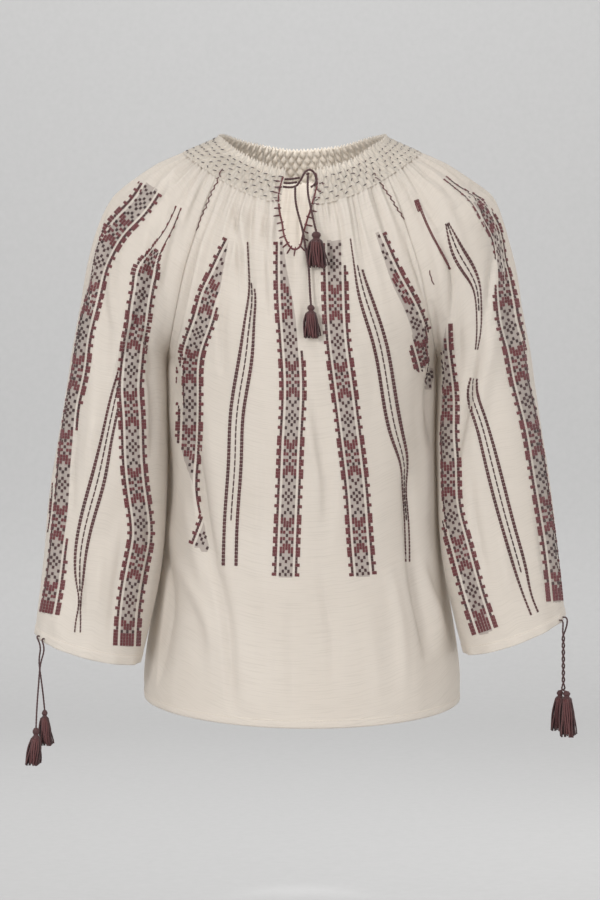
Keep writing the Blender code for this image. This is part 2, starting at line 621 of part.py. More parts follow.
def cut_slit(collection, cutters):
    """Drop-shaped slit through the front wall only."""
    curve = bpy.data.curves.new("slit_cutter_outline", "CURVE")
    curve.dimensions = "2D"
    curve.fill_mode = "BOTH"
    curve.extrude = SLIT_CUTTER_REACH
    path = curve.splines.new("POLY")
    path.points.add(len(SLIT_OUTLINE) - 1)
    for point, (x, z) in zip(path.points, SLIT_OUTLINE):
        point.co = (x, z, 0.0, 1.0)
    path.use_cyclic_u = True
    guide = bpy.data.objects.new("slit_cutter_guide", curve)
    guide.location = (0.0, SLIT_CUTTER_Y, 0.0)
    guide.rotation_euler = (0.5 * math.pi, 0.0, 0.0)
    cutters.objects.link(guide)
    bpy.context.view_layer.update()
    placed = guide.matrix_world.copy()
    ready = guide.evaluated_get(bpy.context.evaluated_depsgraph_get())
    mesh = bpy.data.meshes.new_from_object(ready)
    bm = bmesh.new()
    bm.from_mesh(mesh)
    bmesh.ops.remove_doubles(bm, verts=bm.verts, dist=0.00001)
    bmesh.ops.recalc_face_normals(bm, faces=bm.faces)
    bm.to_mesh(mesh)
    bm.free()
    bpy.data.objects.remove(guide, do_unlink=True)
    cutter = bpy.data.objects.new("slit_cutter", mesh)
    cutter.matrix_world = placed
    cutter.hide_render = True
    cutter.display_type = "WIRE"
    cutters.objects.link(cutter)
    front = collection.objects["front"]
    cut = front.modifiers.new("slit", "BOOLEAN")
    cut.operation = "DIFFERENCE"
    cut.solver = "EXACT"
    cut.object = cutter


def build_cord(name, points, diameter, step, look, collection):
    """Round cord along the smooth curve through its route."""
    places = smooth_route(points, step)
    curve = bpy.data.curves.new(name, "CURVE")
    curve.dimensions = "3D"
    curve.bevel_depth = 0.5 * diameter
    curve.bevel_resolution = 2
    curve.use_fill_caps = True
    path = curve.splines.new("POLY")
    path.points.add(len(places) - 1)
    for point, place in zip(path.points, places):
        point.co = (place[0], place[1], place[2], 1.0)
    curve.materials.append(look)
    collection.objects.link(bpy.data.objects.new(name, curve))


def casing_exit(name, place):
    """Point on the outside of a cuff's casing, and its outward direction."""
    side, shoulder, lean, rise_outside = SLEEVE_SIDES[name]
    stations = CASING_EXIT + np.array([-0.1, 0.0, 0.1])
    across = place + np.array([-0.03, 0.0, 0.03])
    grid = sleeve_grid(stations, across, shoulder, lean, rise_outside)
    normal = grid_normals(grid)[1, 1]
    columns = np.linspace(-1.0, 1.0, 2 * GATHERS[name][0] + 1)
    puckers = cuff_puckers_at(stations[1:2], columns)[0]
    rise = np.interp(place, columns, puckers) + 0.5 * (CASING_WALL - CLOTH)
    point = grid[1, 1] + normal * rise
    turn = np.array([side, 1.0, 1.0])
    return point * turn, normal * turn


def cuff_route(name, place, offsets):
    """Cord that leaves the casing and hangs beside the cuff."""
    point, normal = casing_exit(name, place)
    start = point + normal * CAP_GAP
    bend = point + normal * 4.0 * CAP_GAP
    return [tuple(start), tuple(bend)] + [tuple(start + np.array(step)) for step in offsets]


def twisted_route(name, place, phase):
    """One of the two cords that wind round each other below the left cuff."""
    side = SLEEVE_SIDES[name][0]
    point, normal = casing_exit(name, place)
    middle, outward = casing_exit(name, TWIST_PLACE)
    start = middle + outward * 2.0 * CUFF_CORD_DIAMETER
    axis = start + np.array([TWIST_OUT[0] * side, TWIST_OUT[1], -TWIST_DROP])
    points = [tuple(point + normal * CAP_GAP), tuple(point + normal * 4.0 * CAP_GAP)]
    for f in np.linspace(0.0, 1.0, 35):
        turn = math.pi * (phase - 0.5) + 2.0 * math.pi * TWIST_TURNS * f
        open_end = LEFT_TASSEL_SPREAD * max(0.0, (f - 0.9) / 0.1) ** 2
        reach = TWIST_RADIUS + open_end
        offset = np.array([reach * math.cos(turn), reach * math.sin(turn), -TWIST_LENGTH * f])
        points.append(tuple(axis + offset))
    return points


def seat_below(route, diameter):
    """Place for a tassel's top just under the end of its cord."""
    end = np.array(route[-1])
    run = end - np.array(route[-2])
    run /= np.linalg.norm(run)
    tilt = math.hypot(run[0], run[1])
    return (end[0], end[1], end[2] - 0.5 * diameter * tilt - 1.5 * SEAM_GAP)


def build_tassel(name, row, seat, look, collection):
    """Bound head with strands that grow out of its lower face."""
    cord, head, skirt, half_width, lean, forward = row
    root = 0.62 * half_width
    profile = [
        (0.0016, 0.0), (0.62 * root, -0.14 * head), (0.80 * root, -0.42 * head),
        (0.62 * root, -0.66 * head), (0.70 * root, -0.80 * head), (root, -head),
    ]
    bm = bmesh.new()
    rings = []
    for radius, level in profile:
        ring = []
        for k in range(TASSEL_SIDES):
            turn = 2.0 * math.pi * k / TASSEL_SIDES
            ring.append(bm.verts.new((radius * math.cos(turn), radius * math.sin(turn), level)))
        rings.append(ring)
    inner_ring = []
    for k in range(TASSEL_SIDES):
        turn = 2.0 * math.pi * k / TASSEL_SIDES
        reach = 0.56 * root
        inner_ring.append(bm.verts.new((reach * math.cos(turn), reach * math.sin(turn), -head)))
    middle = bm.verts.new((0.0, 0.0, -head))
    bm.faces.new(rings[0][::-1])
    strands = []
    for k in range(TASSEL_SIDES):
        n = (k + 1) % TASSEL_SIDES
        for low, high in zip(rings[1:], rings[:-1]):
            bm.faces.new([high[k], high[n], low[n], low[k]])
        strands.append(bm.faces.new([rings[-1][k], rings[-1][n], inner_ring[n], inner_ring[k]]))
        strands.append(bm.faces.new([inner_ring[k], inner_ring[n], middle]))
    bmesh.ops.recalc_face_normals(bm, faces=bm.faces)
    bmesh.ops.inset_individual(bm, faces=strands, thickness=STRAND_GAP)
    grown = bmesh.ops.extrude_discrete_faces(bm, faces=strands)["faces"]
    for k, face in enumerate(grown):
        place = face.calc_center_median()
        spread = 0.96 * half_width / root
        length = skirt * (0.93 + 0.07 * math.cos(1.7 * k))
        away = Vector((place.x * spread, place.y * spread * TASSEL_FLATNESS, 0.0))
        for vert in face.verts:
            local = (vert.co - place) * 0.85
            vert.co = away + local + Vector((lean, forward, -head - length))
    mesh = mesh_from(bm, name)
    mesh.shade_smooth()
    mesh.set_sharp_from_angle(angle=math.radians(40.0))
    made = add_object(name, mesh, look, collection)
    made.location = seat


def build_knot(look, collection):
    """Knot of the tie beside the right lip."""
    bm = bmesh.new()
    bmesh.ops.create_uvsphere(bm, u_segments=10, v_segments=7, radius=1.0)
    bmesh.ops.scale(bm, vec=KNOT_HALF_SIZE, verts=bm.verts)
    mesh = mesh_from(bm, "tie_knot")
    mesh.shade_smooth()
    knot = add_object("tie_knot", mesh, look, collection)
    knot.location = KNOT_PLACE


def main():
    for old in list(bpy.data.objects):
        bpy.data.objects.remove(old, do_unlink=True)
    blouse = bpy.data.collections.new("embroidered_blouse")
    cutters = bpy.data.collections.new("cutters")
    bpy.context.scene.collection.children.link(blouse)
    bpy.context.scene.collection.children.link(cutters)
    looks = {
        "cotton": material("cotton_cloth", COTTON_COLOUR, 0.85),
        "smock": material("smocked_cotton", SMOCK_COLOUR, 0.88),
        "thread": material("burgundy_thread", THREAD_COLOUR, 0.75),
    }
    build_panels(looks, blouse)
    build_smocking(looks["smock"], blouse)
    cut_slit(blouse, cutters)
    routes = dict(TIE_ROUTES)
    for name, (sleeve, place, offsets) in CUFF_ROUTES.items():
        routes[name] = cuff_route(sleeve, place, offsets)
    for name, (sleeve, place, phase) in TWISTED_CORDS.items():
        routes[name] = twisted_route(sleeve, place, phase)
    for name, route in routes.items():
        diameter = TIE_DIAMETER if name in TIE_ROUTES else CUFF_CORD_DIAMETER
        step = TWIST_STEP if name in TWISTED_CORDS else CORD_STEP * diameter
        build_cord(name, route, diameter, step, looks["thread"], blouse)
    build_knot(looks["thread"], blouse)
    for name, row in TASSELS.items():
        diameter = TIE_DIAMETER if row[0] in TIE_ROUTES else CUFF_CORD_DIAMETER
        build_tassel(name, row, seat_below(routes[row[0]], diameter), looks["thread"], blouse)


main()
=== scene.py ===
# %% [markdown]
# # Ie, an embroidered Romanian peasant blouse
#
# The blouse is cotton voile, gathered into a smocked neck, with raglan sleeves, a laced slit and
# bands of counted stitches. It is shown filled out as worn, with its real size from the frame.
# Every panel of cloth here is a thin shell on the same form as its solid, so this lesson repeats
# the few tables that shape the solids and adds what thread and cloth do on top of them.

# %% Load the frame
import math
import bpy
import numpy as np
from mathutils import Matrix, Vector, bvhtree, noise


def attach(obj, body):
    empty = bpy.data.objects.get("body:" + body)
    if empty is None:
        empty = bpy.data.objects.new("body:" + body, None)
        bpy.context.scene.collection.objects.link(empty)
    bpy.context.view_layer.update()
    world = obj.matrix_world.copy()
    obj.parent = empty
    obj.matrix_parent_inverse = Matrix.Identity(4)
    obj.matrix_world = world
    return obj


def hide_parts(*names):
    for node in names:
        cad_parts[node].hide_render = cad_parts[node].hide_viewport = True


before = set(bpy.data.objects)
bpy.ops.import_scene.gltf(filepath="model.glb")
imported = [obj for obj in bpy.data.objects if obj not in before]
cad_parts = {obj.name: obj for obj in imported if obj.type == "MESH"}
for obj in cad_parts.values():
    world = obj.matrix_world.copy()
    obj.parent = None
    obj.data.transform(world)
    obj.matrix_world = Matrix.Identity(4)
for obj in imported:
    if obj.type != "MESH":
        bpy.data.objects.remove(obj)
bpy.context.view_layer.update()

# %% [markdown]
# ## The camera
#
# The photograph looks straight at the middle of the blouse from a long way off, so the lens is
# long. One picture dot is 1.1 mm at the plane of the sleeves. The same two facts turn a place
# in the picture into a place on the blouse, which is how the bands and creases below are set.

# %% Camera and picture scale
CAMERA_DISTANCE = 3.2  # metres in front of the plane of the sleeves
PICTURE_SCALE = 0.0011  # metres a dot at that plane
PICTURE_MIDDLE = (300.0, 450.0)
VIEW_MIDDLE = (-0.0022, -0.3135)
PICTURE_HEIGHT = 900 * PICTURE_SCALE
SENSOR = 36.0

camera_data = bpy.data.cameras.new("camera")
camera_data.sensor_width = SENSOR
camera_data.lens = SENSOR * CAMERA_DISTANCE / PICTURE_HEIGHT
camera_data.clip_end = 30.0
camera = bpy.data.objects.new("camera", camera_data)
camera.location = (VIEW_MIDDLE[0], -CAMERA_DISTANCE, VIEW_MIDDLE[1])
camera.rotation_euler = (0.5 * math.pi, 0.0, 0.0)
bpy.context.scene.collection.objects.link(camera)
bpy.context.scene.camera = camera


def picture_of(points):
    """Where points show in the picture, in dots from its upper left corner."""
    depth = (CAMERA_DISTANCE + points[..., 1]) / CAMERA_DISTANCE
    across = PICTURE_MIDDLE[0] + (points[..., 0] - VIEW_MIDDLE[0]) / (PICTURE_SCALE * depth)
    down = PICTURE_MIDDLE[1] - (points[..., 2] - VIEW_MIDDLE[1]) / (PICTURE_SCALE * depth)
    return np.stack([across, down], axis=-1)


print("lens:", round(camera_data.lens, 1), "mm")

# %% [markdown]
# ## Small helpers for meshes and materials
#
# Colours are written as the screen shows them, so one function turns them into the linear
# values that the shader wants. One function adds a node, sets it and links it.

# %% Helpers
def linear(hex_colour):
    """Linear colour from an sRGB hex value."""
    parts = [int(hex_colour[i:i + 2], 16) / 255.0 for i in (1, 3, 5)]
    return tuple(c / 12.92 if c <= 0.04045 else ((c + 0.055) / 1.055) ** 2.4 for c in parts) + (1.0,)


def add_node(tree, kind, settings=None, values=None, links=None):
    """Add a node with its settings, socket values and links from other nodes' sockets."""
    node = tree.nodes.new(kind)
    for name, value in (settings or {}).items():
        setattr(node, name, value)
    for socket, value in (values or {}).items():
        node.inputs[socket].default_value = value
    for socket, source in (links or {}).items():
        tree.links.new(source, node.inputs[socket])
    return node


def new_material(name, roughness, sheen=0.0, ior=1.46):
    """A material with its shader, and constants set on the shader's own sockets."""
    made = bpy.data.materials.new(name)
    made.use_nodes = True
    shader = made.node_tree.nodes["Principled BSDF"]
    shader.inputs["Roughness"].default_value = roughness
    shader.inputs["IOR"].default_value = ior
    shader.inputs["Sheen Weight"].default_value = sheen
    shader.inputs["Sheen Roughness"].default_value = 0.5
    return made, made.node_tree, shader


def new_object(name, mesh, look):
    """An object of a mesh, with its material when one is given, in the scene."""
    made = bpy.data.objects.new(name, mesh)
    if look is not None:
        mesh.materials.append(look)
    bpy.context.scene.collection.objects.link(made)
    return made


def quads_of(points):
    """Corner numbers of the quads over a grid of points."""
    rows, columns = points.shape[:2]
    number = np.arange(rows * columns).reshape(rows, columns)
    quads = np.stack([number[:-1, :-1], number[1:, :-1], number[1:, 1:], number[:-1, 1:]], axis=-1)
    return quads.reshape(-1, 4)


def grid_mesh(name, points, keep=None, flip=False):
    """Mesh of quads over a grid of points; keep says which quads are made."""
    quads = quads_of(points)
    if flip:
        quads = quads[:, ::-1]
    if keep is not None:
        quads = quads[keep.reshape(-1)]
    used = np.zeros(points.shape[0] * points.shape[1], dtype=bool)
    used[quads.reshape(-1)] = True
    renumber = np.cumsum(used) - 1
    mesh = bpy.data.meshes.new(name)
    mesh.from_pydata(points.reshape(-1, 3)[used].tolist(), [], renumber[quads].tolist())
    mesh.shade_smooth()
    return mesh, used


def store(mesh, name, values, kind="FLOAT"):
    """Keep a value for each vertex, for a material or a node tree to read."""
    made = mesh.attributes.new(name, kind, "POINT")
    field = "vector" if kind == "FLOAT_VECTOR" else "value"
    made.data.foreach_set(field, np.asarray(values, dtype=np.float32).reshape(-1))


# %% [markdown]
# ## Smooth curves and the forms of the garment
#
# A pattern cutter knows a blouse by its seams and centre lines. The tables give those lines a
# few stations from the neck down, and a smooth curve runs through each column. Between two
# seams the cloth follows part of an oval, so every panel is one formula over its station and
# its place across. These are the sizes of the solids, so the cloth lies close on them.

# %% Smooth curves
def spline(values, at, knots=None):
    """Natural cubic through values at knots (0, 1, 2 and so on when none are given)."""
    values = np.asarray(values, float)
    count = len(values)
    knots = np.arange(count, dtype=float) if knots is None else np.asarray(knots, float)
    gap = np.diff(knots)
    slope = (values[1:] - values[:-1]) / (gap[:, None] if values.ndim > 1 else gap)
    matrix = np.eye(count)
    right = np.zeros_like(values)
    for k in range(1, count - 1):
        matrix[k, k - 1:k + 2] = (gap[k - 1], 2.0 * (gap[k - 1] + gap[k]), gap[k])
        right[k] = 6.0 * (slope[k] - slope[k - 1])
    bend = np.linalg.solve(matrix, right)
    at = np.clip(np.asarray(at, float), knots[0], knots[-1])
    low = np.clip(np.searchsorted(knots, at, side="right") - 1, 0, count - 2)
    h = gap[low]
    f = (at - knots[low]) / h
    if values.ndim > 1:
        f = f[..., None]
        h = h[..., None]
    a = values[low] * (1 - f) + values[low + 1] * f
    b = ((1 - f) ** 3 - (1 - f)) * bend[low] + (f ** 3 - f) * bend[low + 1]
    return a + b * h * h / 6.0


def walked(points):
    """Distance walked along a line at each of its points."""
    legs = np.linalg.norm(np.diff(points, axis=0), axis=1)
    return np.concatenate([[0.0], np.cumsum(legs)])


def smooth_route(points, step):
    """Evenly spaced points along the smooth curve through a route."""
    points = np.asarray(points, float)
    knots = walked(points)
    fine = spline(points, np.linspace(0.0, knots[-1], 800), knots)
    along = walked(fine)
    count = max(3, int(round(along[-1] / step)) + 1)
    places = np.linspace(0.0, along[-1], count)
    return np.stack([np.interp(places, along, fine[:, k]) for k in range(fine.shape[1])], axis=1)


# %% Sizes of the solids
CLOTH = 0.0012
CASING_WALL = 0.0026
HEM_DEPTH = 0.008
CASING_DEPTH = 0.009
ARMPIT = 6.0
LAST = 13.0
YOKE_BLEND = 1.5
NECK_HALF_WIDTH = 0.093
NECK_HALF_DEPTH = 0.080
YOKE_HALF_WIDTH = 0.130
YOKE_HALF_DEPTH = 0.106
RAGLAN_ANGLE = 45.0
CUFF_DIP = 0.009
INNER_SHARE = 0.5
HEM_TILT = 0.002
CUFF_PUCKERS = 12
CUFF_PUCKER_HEIGHT = 0.0010
CUFF_PUCKER_START = 11.2

# A row for each station from the neck to the armpit:
# front seam x, y, z, back seam x, y, z, shoulder ridge x, y, z, sleeve half depth
RAGLAN_ROWS = [
    (0.0919, -0.079, -0.0197, 0.0919, 0.071, 0.0005, 0.1300, -0.004, 0.0115, 0.0755),
    (0.1040, -0.086, -0.0520, 0.1050, 0.085, -0.0330, 0.1630, -0.002, -0.0055, 0.0880),
    (0.1150, -0.090, -0.0860, 0.1170, 0.093, -0.0720, 0.1920, 0.000, -0.0250, 0.0955),
    (0.1255, -0.090, -0.1210, 0.1275, 0.094, -0.1110, 0.2105, 0.002, -0.0460, 0.0965),
    (0.1340, -0.080, -0.1580, 0.1365, 0.083, -0.1510, 0.2235, 0.003, -0.0770, 0.0910),
    (0.1415, -0.052, -0.1910, 0.1435, 0.052, -0.1870, 0.2345, 0.003, -0.1150, 0.0820),
    (0.1480, -0.004, -0.2130, 0.1480, -0.004, -0.2130, 0.2445, 0.001, -0.1600, 0.0750),
]
# Body: front centre y, z, back centre y, z, arc half angle in degrees
BODY_CENTRES = [
    (-0.1100, -0.0533, 0.1020, -0.0100, 45.0),
    (-0.1155, -0.0830, 0.1070, -0.0500, 48.0),
    (-0.1200, -0.1130, 0.1100, -0.0900, 52.0),
    (-0.1245, -0.1430, 0.1115, -0.1260, 57.0),
    (-0.1280, -0.1720, 0.1120, -0.1600, 64.0),
    (-0.1300, -0.1970, 0.1120, -0.1900, 75.0),
    (-0.1305, -0.2190, 0.1120, -0.2160, 90.0),
    (-0.1290, -0.2700, 0.1100, -0.2680, 90.0),
    (-0.1260, -0.3300, 0.1080, -0.3280, 90.0),
    (-0.1230, -0.3950, 0.1090, -0.3930, 90.0),
    (-0.1220, -0.4570, 0.1120, -0.4550, 90.0),
    (-0.1235, -0.5200, 0.1160, -0.5170, 90.0),
    (-0.1250, -0.5730, 0.1200, -0.5690, 90.0),
    (-0.1260, -0.6080, 0.1220, -0.6010, 90.0),
]
# Side seam below the armpit: x, y, z
SIDE_ROWS = [
    (0.1480, -0.004, -0.2130),
    (0.1470, 0.003, -0.2650),
    (0.1480, 0.008, -0.3250),
    (0.1510, 0.012, -0.3900),
    (0.1575, 0.014, -0.4500),
    (0.1675, 0.012, -0.5100),
    (0.1735, 0.008, -0.5560),
    (0.1730, 0.005, -0.5830),
]
# Sleeve below the armpit: ridge x, z, underarm x, z, centre y, half depth
SLEEVE_ROWS = [
    (0.2445, -0.1600, 0.1480, -0.2130, -0.0015, 0.0750),
    (0.2550, -0.2220, 0.1485, -0.2620, -0.0050, 0.0695),
    (0.2640, -0.2830, 0.1480, -0.3200, -0.0140, 0.0650),
    (0.2725, -0.3430, 0.1497, -0.3800, -0.0220, 0.0615),
    (0.2785, -0.4030, 0.1545, -0.4380, -0.0290, 0.0590),
    (0.2835, -0.4520, 0.1640, -0.4870, -0.0330, 0.0580),
    (0.2868, -0.4830, 0.1702, -0.5170, -0.0350, 0.0560),
    (0.2885, -0.5010, 0.1755, -0.5370, -0.0360, 0.0550),
]
# Side, outward lean at the shoulder and at the cuff, rise of the cuff's outer end
SLEEVE_SIDES = {
    "sleeve_right": (-1.0, 0.0003, 0.0008, -0.011),
    "sleeve_left": (1.0, 0.0022, -0.0030, 0.009),
}
# Large folds: first and last station, place across at each end, half width across, height
FOLDS = {
    "front": [
        (5.5, 12.6, -0.66, -0.30, 0.055, -0.0042),
        (6.2, 12.8, -0.55, -0.20, 0.070, 0.0040),
        (7.6, 11.4, 0.56, 0.60, 0.045, -0.0050),
        (7.4, 12.4, 0.68, 0.74, 0.055, 0.0038),
        (9.6, 12.9, 0.47, 0.50, 0.060, 0.0030),
        (6.4, 9.6, 0.02, 0.00, 0.070, 0.0030),
        (9.2, 13.0, -0.82, -0.76, 0.050, -0.0032),
        (5.2, 8.2, -0.90, -0.62, 0.060, -0.0036),
        (5.2, 8.6, 0.90, 0.64, 0.060, -0.0036),
        (2.2, 7.5, -0.22, -0.18, 0.060, 0.0026),
        (2.4, 8.4, 0.30, 0.36, 0.055, -0.0026),
    ],
    "back": [
        (1.5, 8.5, -0.30, -0.24, 0.080, -0.0036),
        (2.0, 10.5, 0.26, 0.18, 0.070, -0.0034),
        (1.0, 9.5, 0.02, -0.06, 0.080, 0.0040),
        (6.0, 12.8, -0.60, -0.42, 0.070, -0.0040),
        (6.4, 12.9, 0.58, 0.46, 0.070, -0.0040),
        (9.0, 13.0, -0.12, -0.10, 0.080, 0.0036),
        (5.3, 8.6, 0.88, 0.62, 0.060, -0.0034),
        (5.3, 8.4, -0.88, -0.64, 0.060, -0.0034),
    ],
    "sleeve_right": [
        (0.8, 5.2, -0.36, -0.46, 0.055, -0.0036),
        (2.4, 8.6, -0.18, -0.42, 0.050, 0.0046),
        (2.6, 8.8, -0.28, -0.52, 0.045, -0.0050),
        (4.6, 9.0, -0.62, -0.30, 0.060, 0.0038),
        (8.4, 11.6, -0.66, -0.30, 0.055, -0.0030),
        (9.6, 12.8, -0.20, -0.34, 0.060, 0.0030),
        (3.0, 9.5, 0.34, 0.46, 0.060, -0.0042),
        (7.0, 12.4, 0.62, 0.40, 0.060, 0.0036),
    ],
    "sleeve_left": [
        (0.8, 4.8, -0.30, -0.40, 0.055, -0.0036),
        (1.8, 7.4, -0.16, -0.34, 0.045, -0.0052),
        (2.0, 7.8, -0.06, -0.24, 0.050, 0.0044),
        (4.4, 8.4, -0.60, -0.34, 0.060, 0.0038),
        (2.8, 5.6, 0.02, -0.12, 0.045, -0.0034),
        (8.2, 12.0, -0.58, -0.36, 0.055, -0.0030),
        (3.2, 9.4, 0.32, 0.44, 0.060, -0.0042),
        (7.4, 12.6, 0.60, 0.42, 0.060, 0.0036),
    ],
}
# Gathers below the band: how many, height, reach in stations
GATHERS = {
    "front": (14, 0.0025, 3.4),
    "back": (12, 0.0025, 3.6),
    "sleeve_right": (12, 0.0026, 3.2),
    "sleeve_left": (12, 0.0026, 3.2),
}
FINE_GATHERS = 2.37  # finer gathers for each large one


# %% Forms of the neck and the panels
def yoke_ring(angle):
    """Lower ring of the smocked band, angle in radians from the front centre."""
    return np.stack([
        YOKE_HALF_WIDTH * np.sin(angle),
        -0.004 - YOKE_HALF_DEPTH * np.cos(angle),
        -0.0098 - 0.018 * np.cos(angle) - 0.0218 * np.cos(2 * angle) - 0.0035 * np.cos(3 * angle),
    ], axis=-1)


def neck_ring(angle):
    """Top edge of the smocked band."""
    return np.stack([
        NECK_HALF_WIDTH * np.sin(angle),
        -0.005 - NECK_HALF_DEPTH * np.cos(angle),
        0.0135 - 0.0215 * np.cos(angle) - 0.014 * np.cos(2 * angle),
    ], axis=-1)


def yoke_normal(angle):
    """Outward direction of the band."""
    step = 1e-4
    along = yoke_ring(angle + step) - yoke_ring(angle - step)
    down = yoke_ring(angle) - neck_ring(angle)
    normal = np.cross(down, along)
    return normal / np.linalg.norm(normal, axis=-1, keepdims=True)


def seam_curve(stations, back):
    """Raglan seam and, past the armpit, side seam of the +X side."""
    columns = [row[3:6] if back else row[0:3] for row in RAGLAN_ROWS]
    upper = spline(columns, np.minimum(stations, ARMPIT))
    lower = spline(SIDE_ROWS, np.maximum(stations - ARMPIT, 0.0))
    return np.where((stations <= ARMPIT)[..., None], upper, lower)


def body_grid(stations, across, back):
    """Points of the front or back, rows from neck to hem and columns from -X to +X."""
    edge = seam_curve(stations, back)
    centres = spline(BODY_CENTRES, stations)
    centre_y = centres[:, 2] if back else centres[:, 0]
    centre_z = centres[:, 3] if back else centres[:, 1]
    angle = np.radians(np.minimum(centres[:, 4], 90.0))[:, None]
    s = across[None, :]
    x = edge[:, 0:1] * np.sin(s * angle) / np.sin(angle)
    share = (np.cos(s * angle) - np.cos(angle)) / (1.0 - np.cos(angle))
    y = edge[:, 1:2] + (centre_y[:, None] - edge[:, 1:2]) * share
    z = edge[:, 2:3] + (centre_z[:, None] - edge[:, 2:3]) * share
    below = np.clip((stations - ARMPIT) / (LAST - ARMPIT), 0.0, 1.0)[:, None]
    z = z - HEM_TILT * below ** 2 * x / edge[-1, 0]
    grid = np.stack([x, y, z], axis=-1)
    turn = math.radians(RAGLAN_ANGLE)
    ring_angle = math.pi - across * turn if back else across * turn
    blend = np.clip(1.0 - stations / YOKE_BLEND, 0.0, 1.0) ** 2
    offset = yoke_ring(ring_angle) - grid[0]
    return grid + blend[:, None, None] * offset[None, :, :]


def sleeve_grid(stations, across, shoulder, lean, rise):
    """Points of the +X sleeve, columns from the front edge (-1) round the ridge to the back (1)."""
    upper = spline(RAGLAN_ROWS, np.minimum(stations, ARMPIT))
    lower = spline(SLEEVE_ROWS, np.maximum(stations - ARMPIT, 0.0))
    is_tube = (stations > ARMPIT)[:, None]
    under = np.stack([lower[:, 2], lower[:, 4], lower[:, 3]], axis=-1)
    front = np.where(is_tube, under, upper[:, 0:3])
    rear = np.where(is_tube, under, upper[:, 3:6])
    tube_ridge = np.stack([lower[:, 0], lower[:, 4], lower[:, 1]], axis=-1)
    ridge = np.where(is_tube, tube_ridge, upper[:, 6:9])
    depth = np.where(is_tube[:, 0], lower[:, 5], upper[:, 9])
    fade = np.clip((stations - 1.0) / (LAST - 1.0), 0.0, 1.0)
    ridge[:, 0] += lean * np.sin(0.5 * math.pi * fade)
    ridge[:, 0] += shoulder * np.sin(math.pi * np.clip(stations / ARMPIT, 0.0, 1.0))
    below = np.clip((stations - ARMPIT) / (LAST - ARMPIT), 0.0, 1.0)[:, None]
    half_span = 0.5 * np.linalg.norm(front - rear, axis=1)
    beta = np.arccos(np.clip(half_span / depth, 0.0, 1.0))
    beta = np.where(is_tube[:, 0], 0.5 * math.pi, beta)
    middle = 0.5 * (front + rear)
    outward = (ridge - middle) / (1.0 + np.sin(beta))[:, None]
    centre = ridge - outward
    forward = np.stack([np.zeros_like(depth), -depth, np.zeros_like(depth)], axis=-1)
    theta = 0.5 * math.pi + across[None, :] * (0.5 * math.pi + beta)[:, None]
    grid = (centre[:, None, :] + outward[:, None, :] * np.sin(theta)[..., None]
            + forward[:, None, :] * np.cos(theta)[..., None])
    tuck = centre - outward * np.sin(beta)[:, None]
    reach = forward * np.cos(beta)[:, None]
    front_error = (front - tuck - reach)[:, None, :]
    rear_error = (rear - tuck + reach)[:, None, :]
    to_front = (np.clip(-across, 0.0, 1.0) ** 2)[None, :, None]
    to_rear = (np.clip(across, 0.0, 1.0) ** 2)[None, :, None]
    grid = grid + front_error * to_front + rear_error * to_rear
    grid[..., 2] -= CUFF_DIP * below ** 2 * np.cos(theta)
    inner_weight = 0.5 * (1.0 - INNER_SHARE) * (1.0 - np.sin(theta))
    grid[..., 2] += rise * below * (1.0 - inner_weight)
    turn = math.radians(RAGLAN_ANGLE)
    ring_angle = 0.5 * math.pi + across * turn
    blend = np.clip(1.0 - stations / YOKE_BLEND, 0.0, 1.0) ** 2
    offset = yoke_ring(ring_angle) - grid[0]
    return grid + blend[:, None, None] * offset[None, :, :]


def grid_normals(grid):
    """Unit normals of a grid, pointing to the left of its rows seen from above."""
    normal = np.cross(np.gradient(grid, axis=0), np.gradient(grid, axis=1))
    return normal / np.maximum(np.linalg.norm(normal, axis=-1, keepdims=True), 1e-12)


def plain_panel(name, stations, across):
    """Form of a panel before its folds, and its outward directions."""
    if name in SLEEVE_SIDES:
        side, shoulder, lean, rise = SLEEVE_SIDES[name]
        grid = sleeve_grid(stations, across, shoulder, lean, rise)
        normals = grid_normals(grid)
        turn = np.array([side, 1.0, 1.0])
        return grid * turn, normals * turn
    grid = body_grid(stations, across, name == "back")
    return grid, grid_normals(grid) * (-1.0 if name == "back" else 1.0)


# %% [markdown]
# ## Folds, gathers and creases
#
# The large folds and the gathers come with the solids. Thin cloth also has softer, smaller
# creases, and those are listed one by one: each is a line seen in the picture, with a width and a
# height, and it swells and fades along its length. The hidden sides get similar ones.

# %% Folds of the solids
def folds_at(table, stations, across):
    """Height of the large folds over a grid of stations and places across."""
    t = stations[:, None]
    s = across[None, :]
    height = np.zeros((len(stations), len(across)))
    for first, last, start, end, width, rise in table:
        f = np.clip((t - first) / (last - first), 0.0, 1.0)
        run = np.sin(math.pi * f) ** 0.8
        line = start + (end - start) * f
        height += rise * run * np.exp(-((s - line) / width) ** 2)
    edge = np.clip((1.0 - np.abs(s)) / 0.10, 0.0, 1.0)
    return height * edge * np.clip(t / 0.8, 0.0, 1.0)


def gathers_at(name, stations, across):
    """Gathers that run down from the band, uneven in length, with finer ones between them."""
    count, rise, reach = GATHERS[name]
    t = stations[:, None]
    s = across[None, :]
    length = reach * (1.0 + 0.30 * np.sin(5.1 * s + 0.7) + 0.16 * np.sin(11.0 * s + 2.0))
    swell = (0.35 + 0.65 * np.clip(t / 0.8, 0.0, 1.0)) * np.exp(-(t / length) ** 2)
    bent = s + 0.010 * np.sin(1.9 * t + 9.0 * s) + 0.006 * np.sin(23.0 * s + 1.0)
    wave = np.cos(math.pi * count * (bent + 1.0))
    fine = np.cos(math.pi * count * FINE_GATHERS * (bent + 1.0) + 0.8 * np.sin(7.0 * s))
    short = np.exp(-(t / (0.42 * length)) ** 2)
    edge = np.clip((1.0 - np.abs(s)) / 0.06, 0.0, 1.0)
    return rise * (0.62 * wave * swell + 0.34 * fine * short) * edge


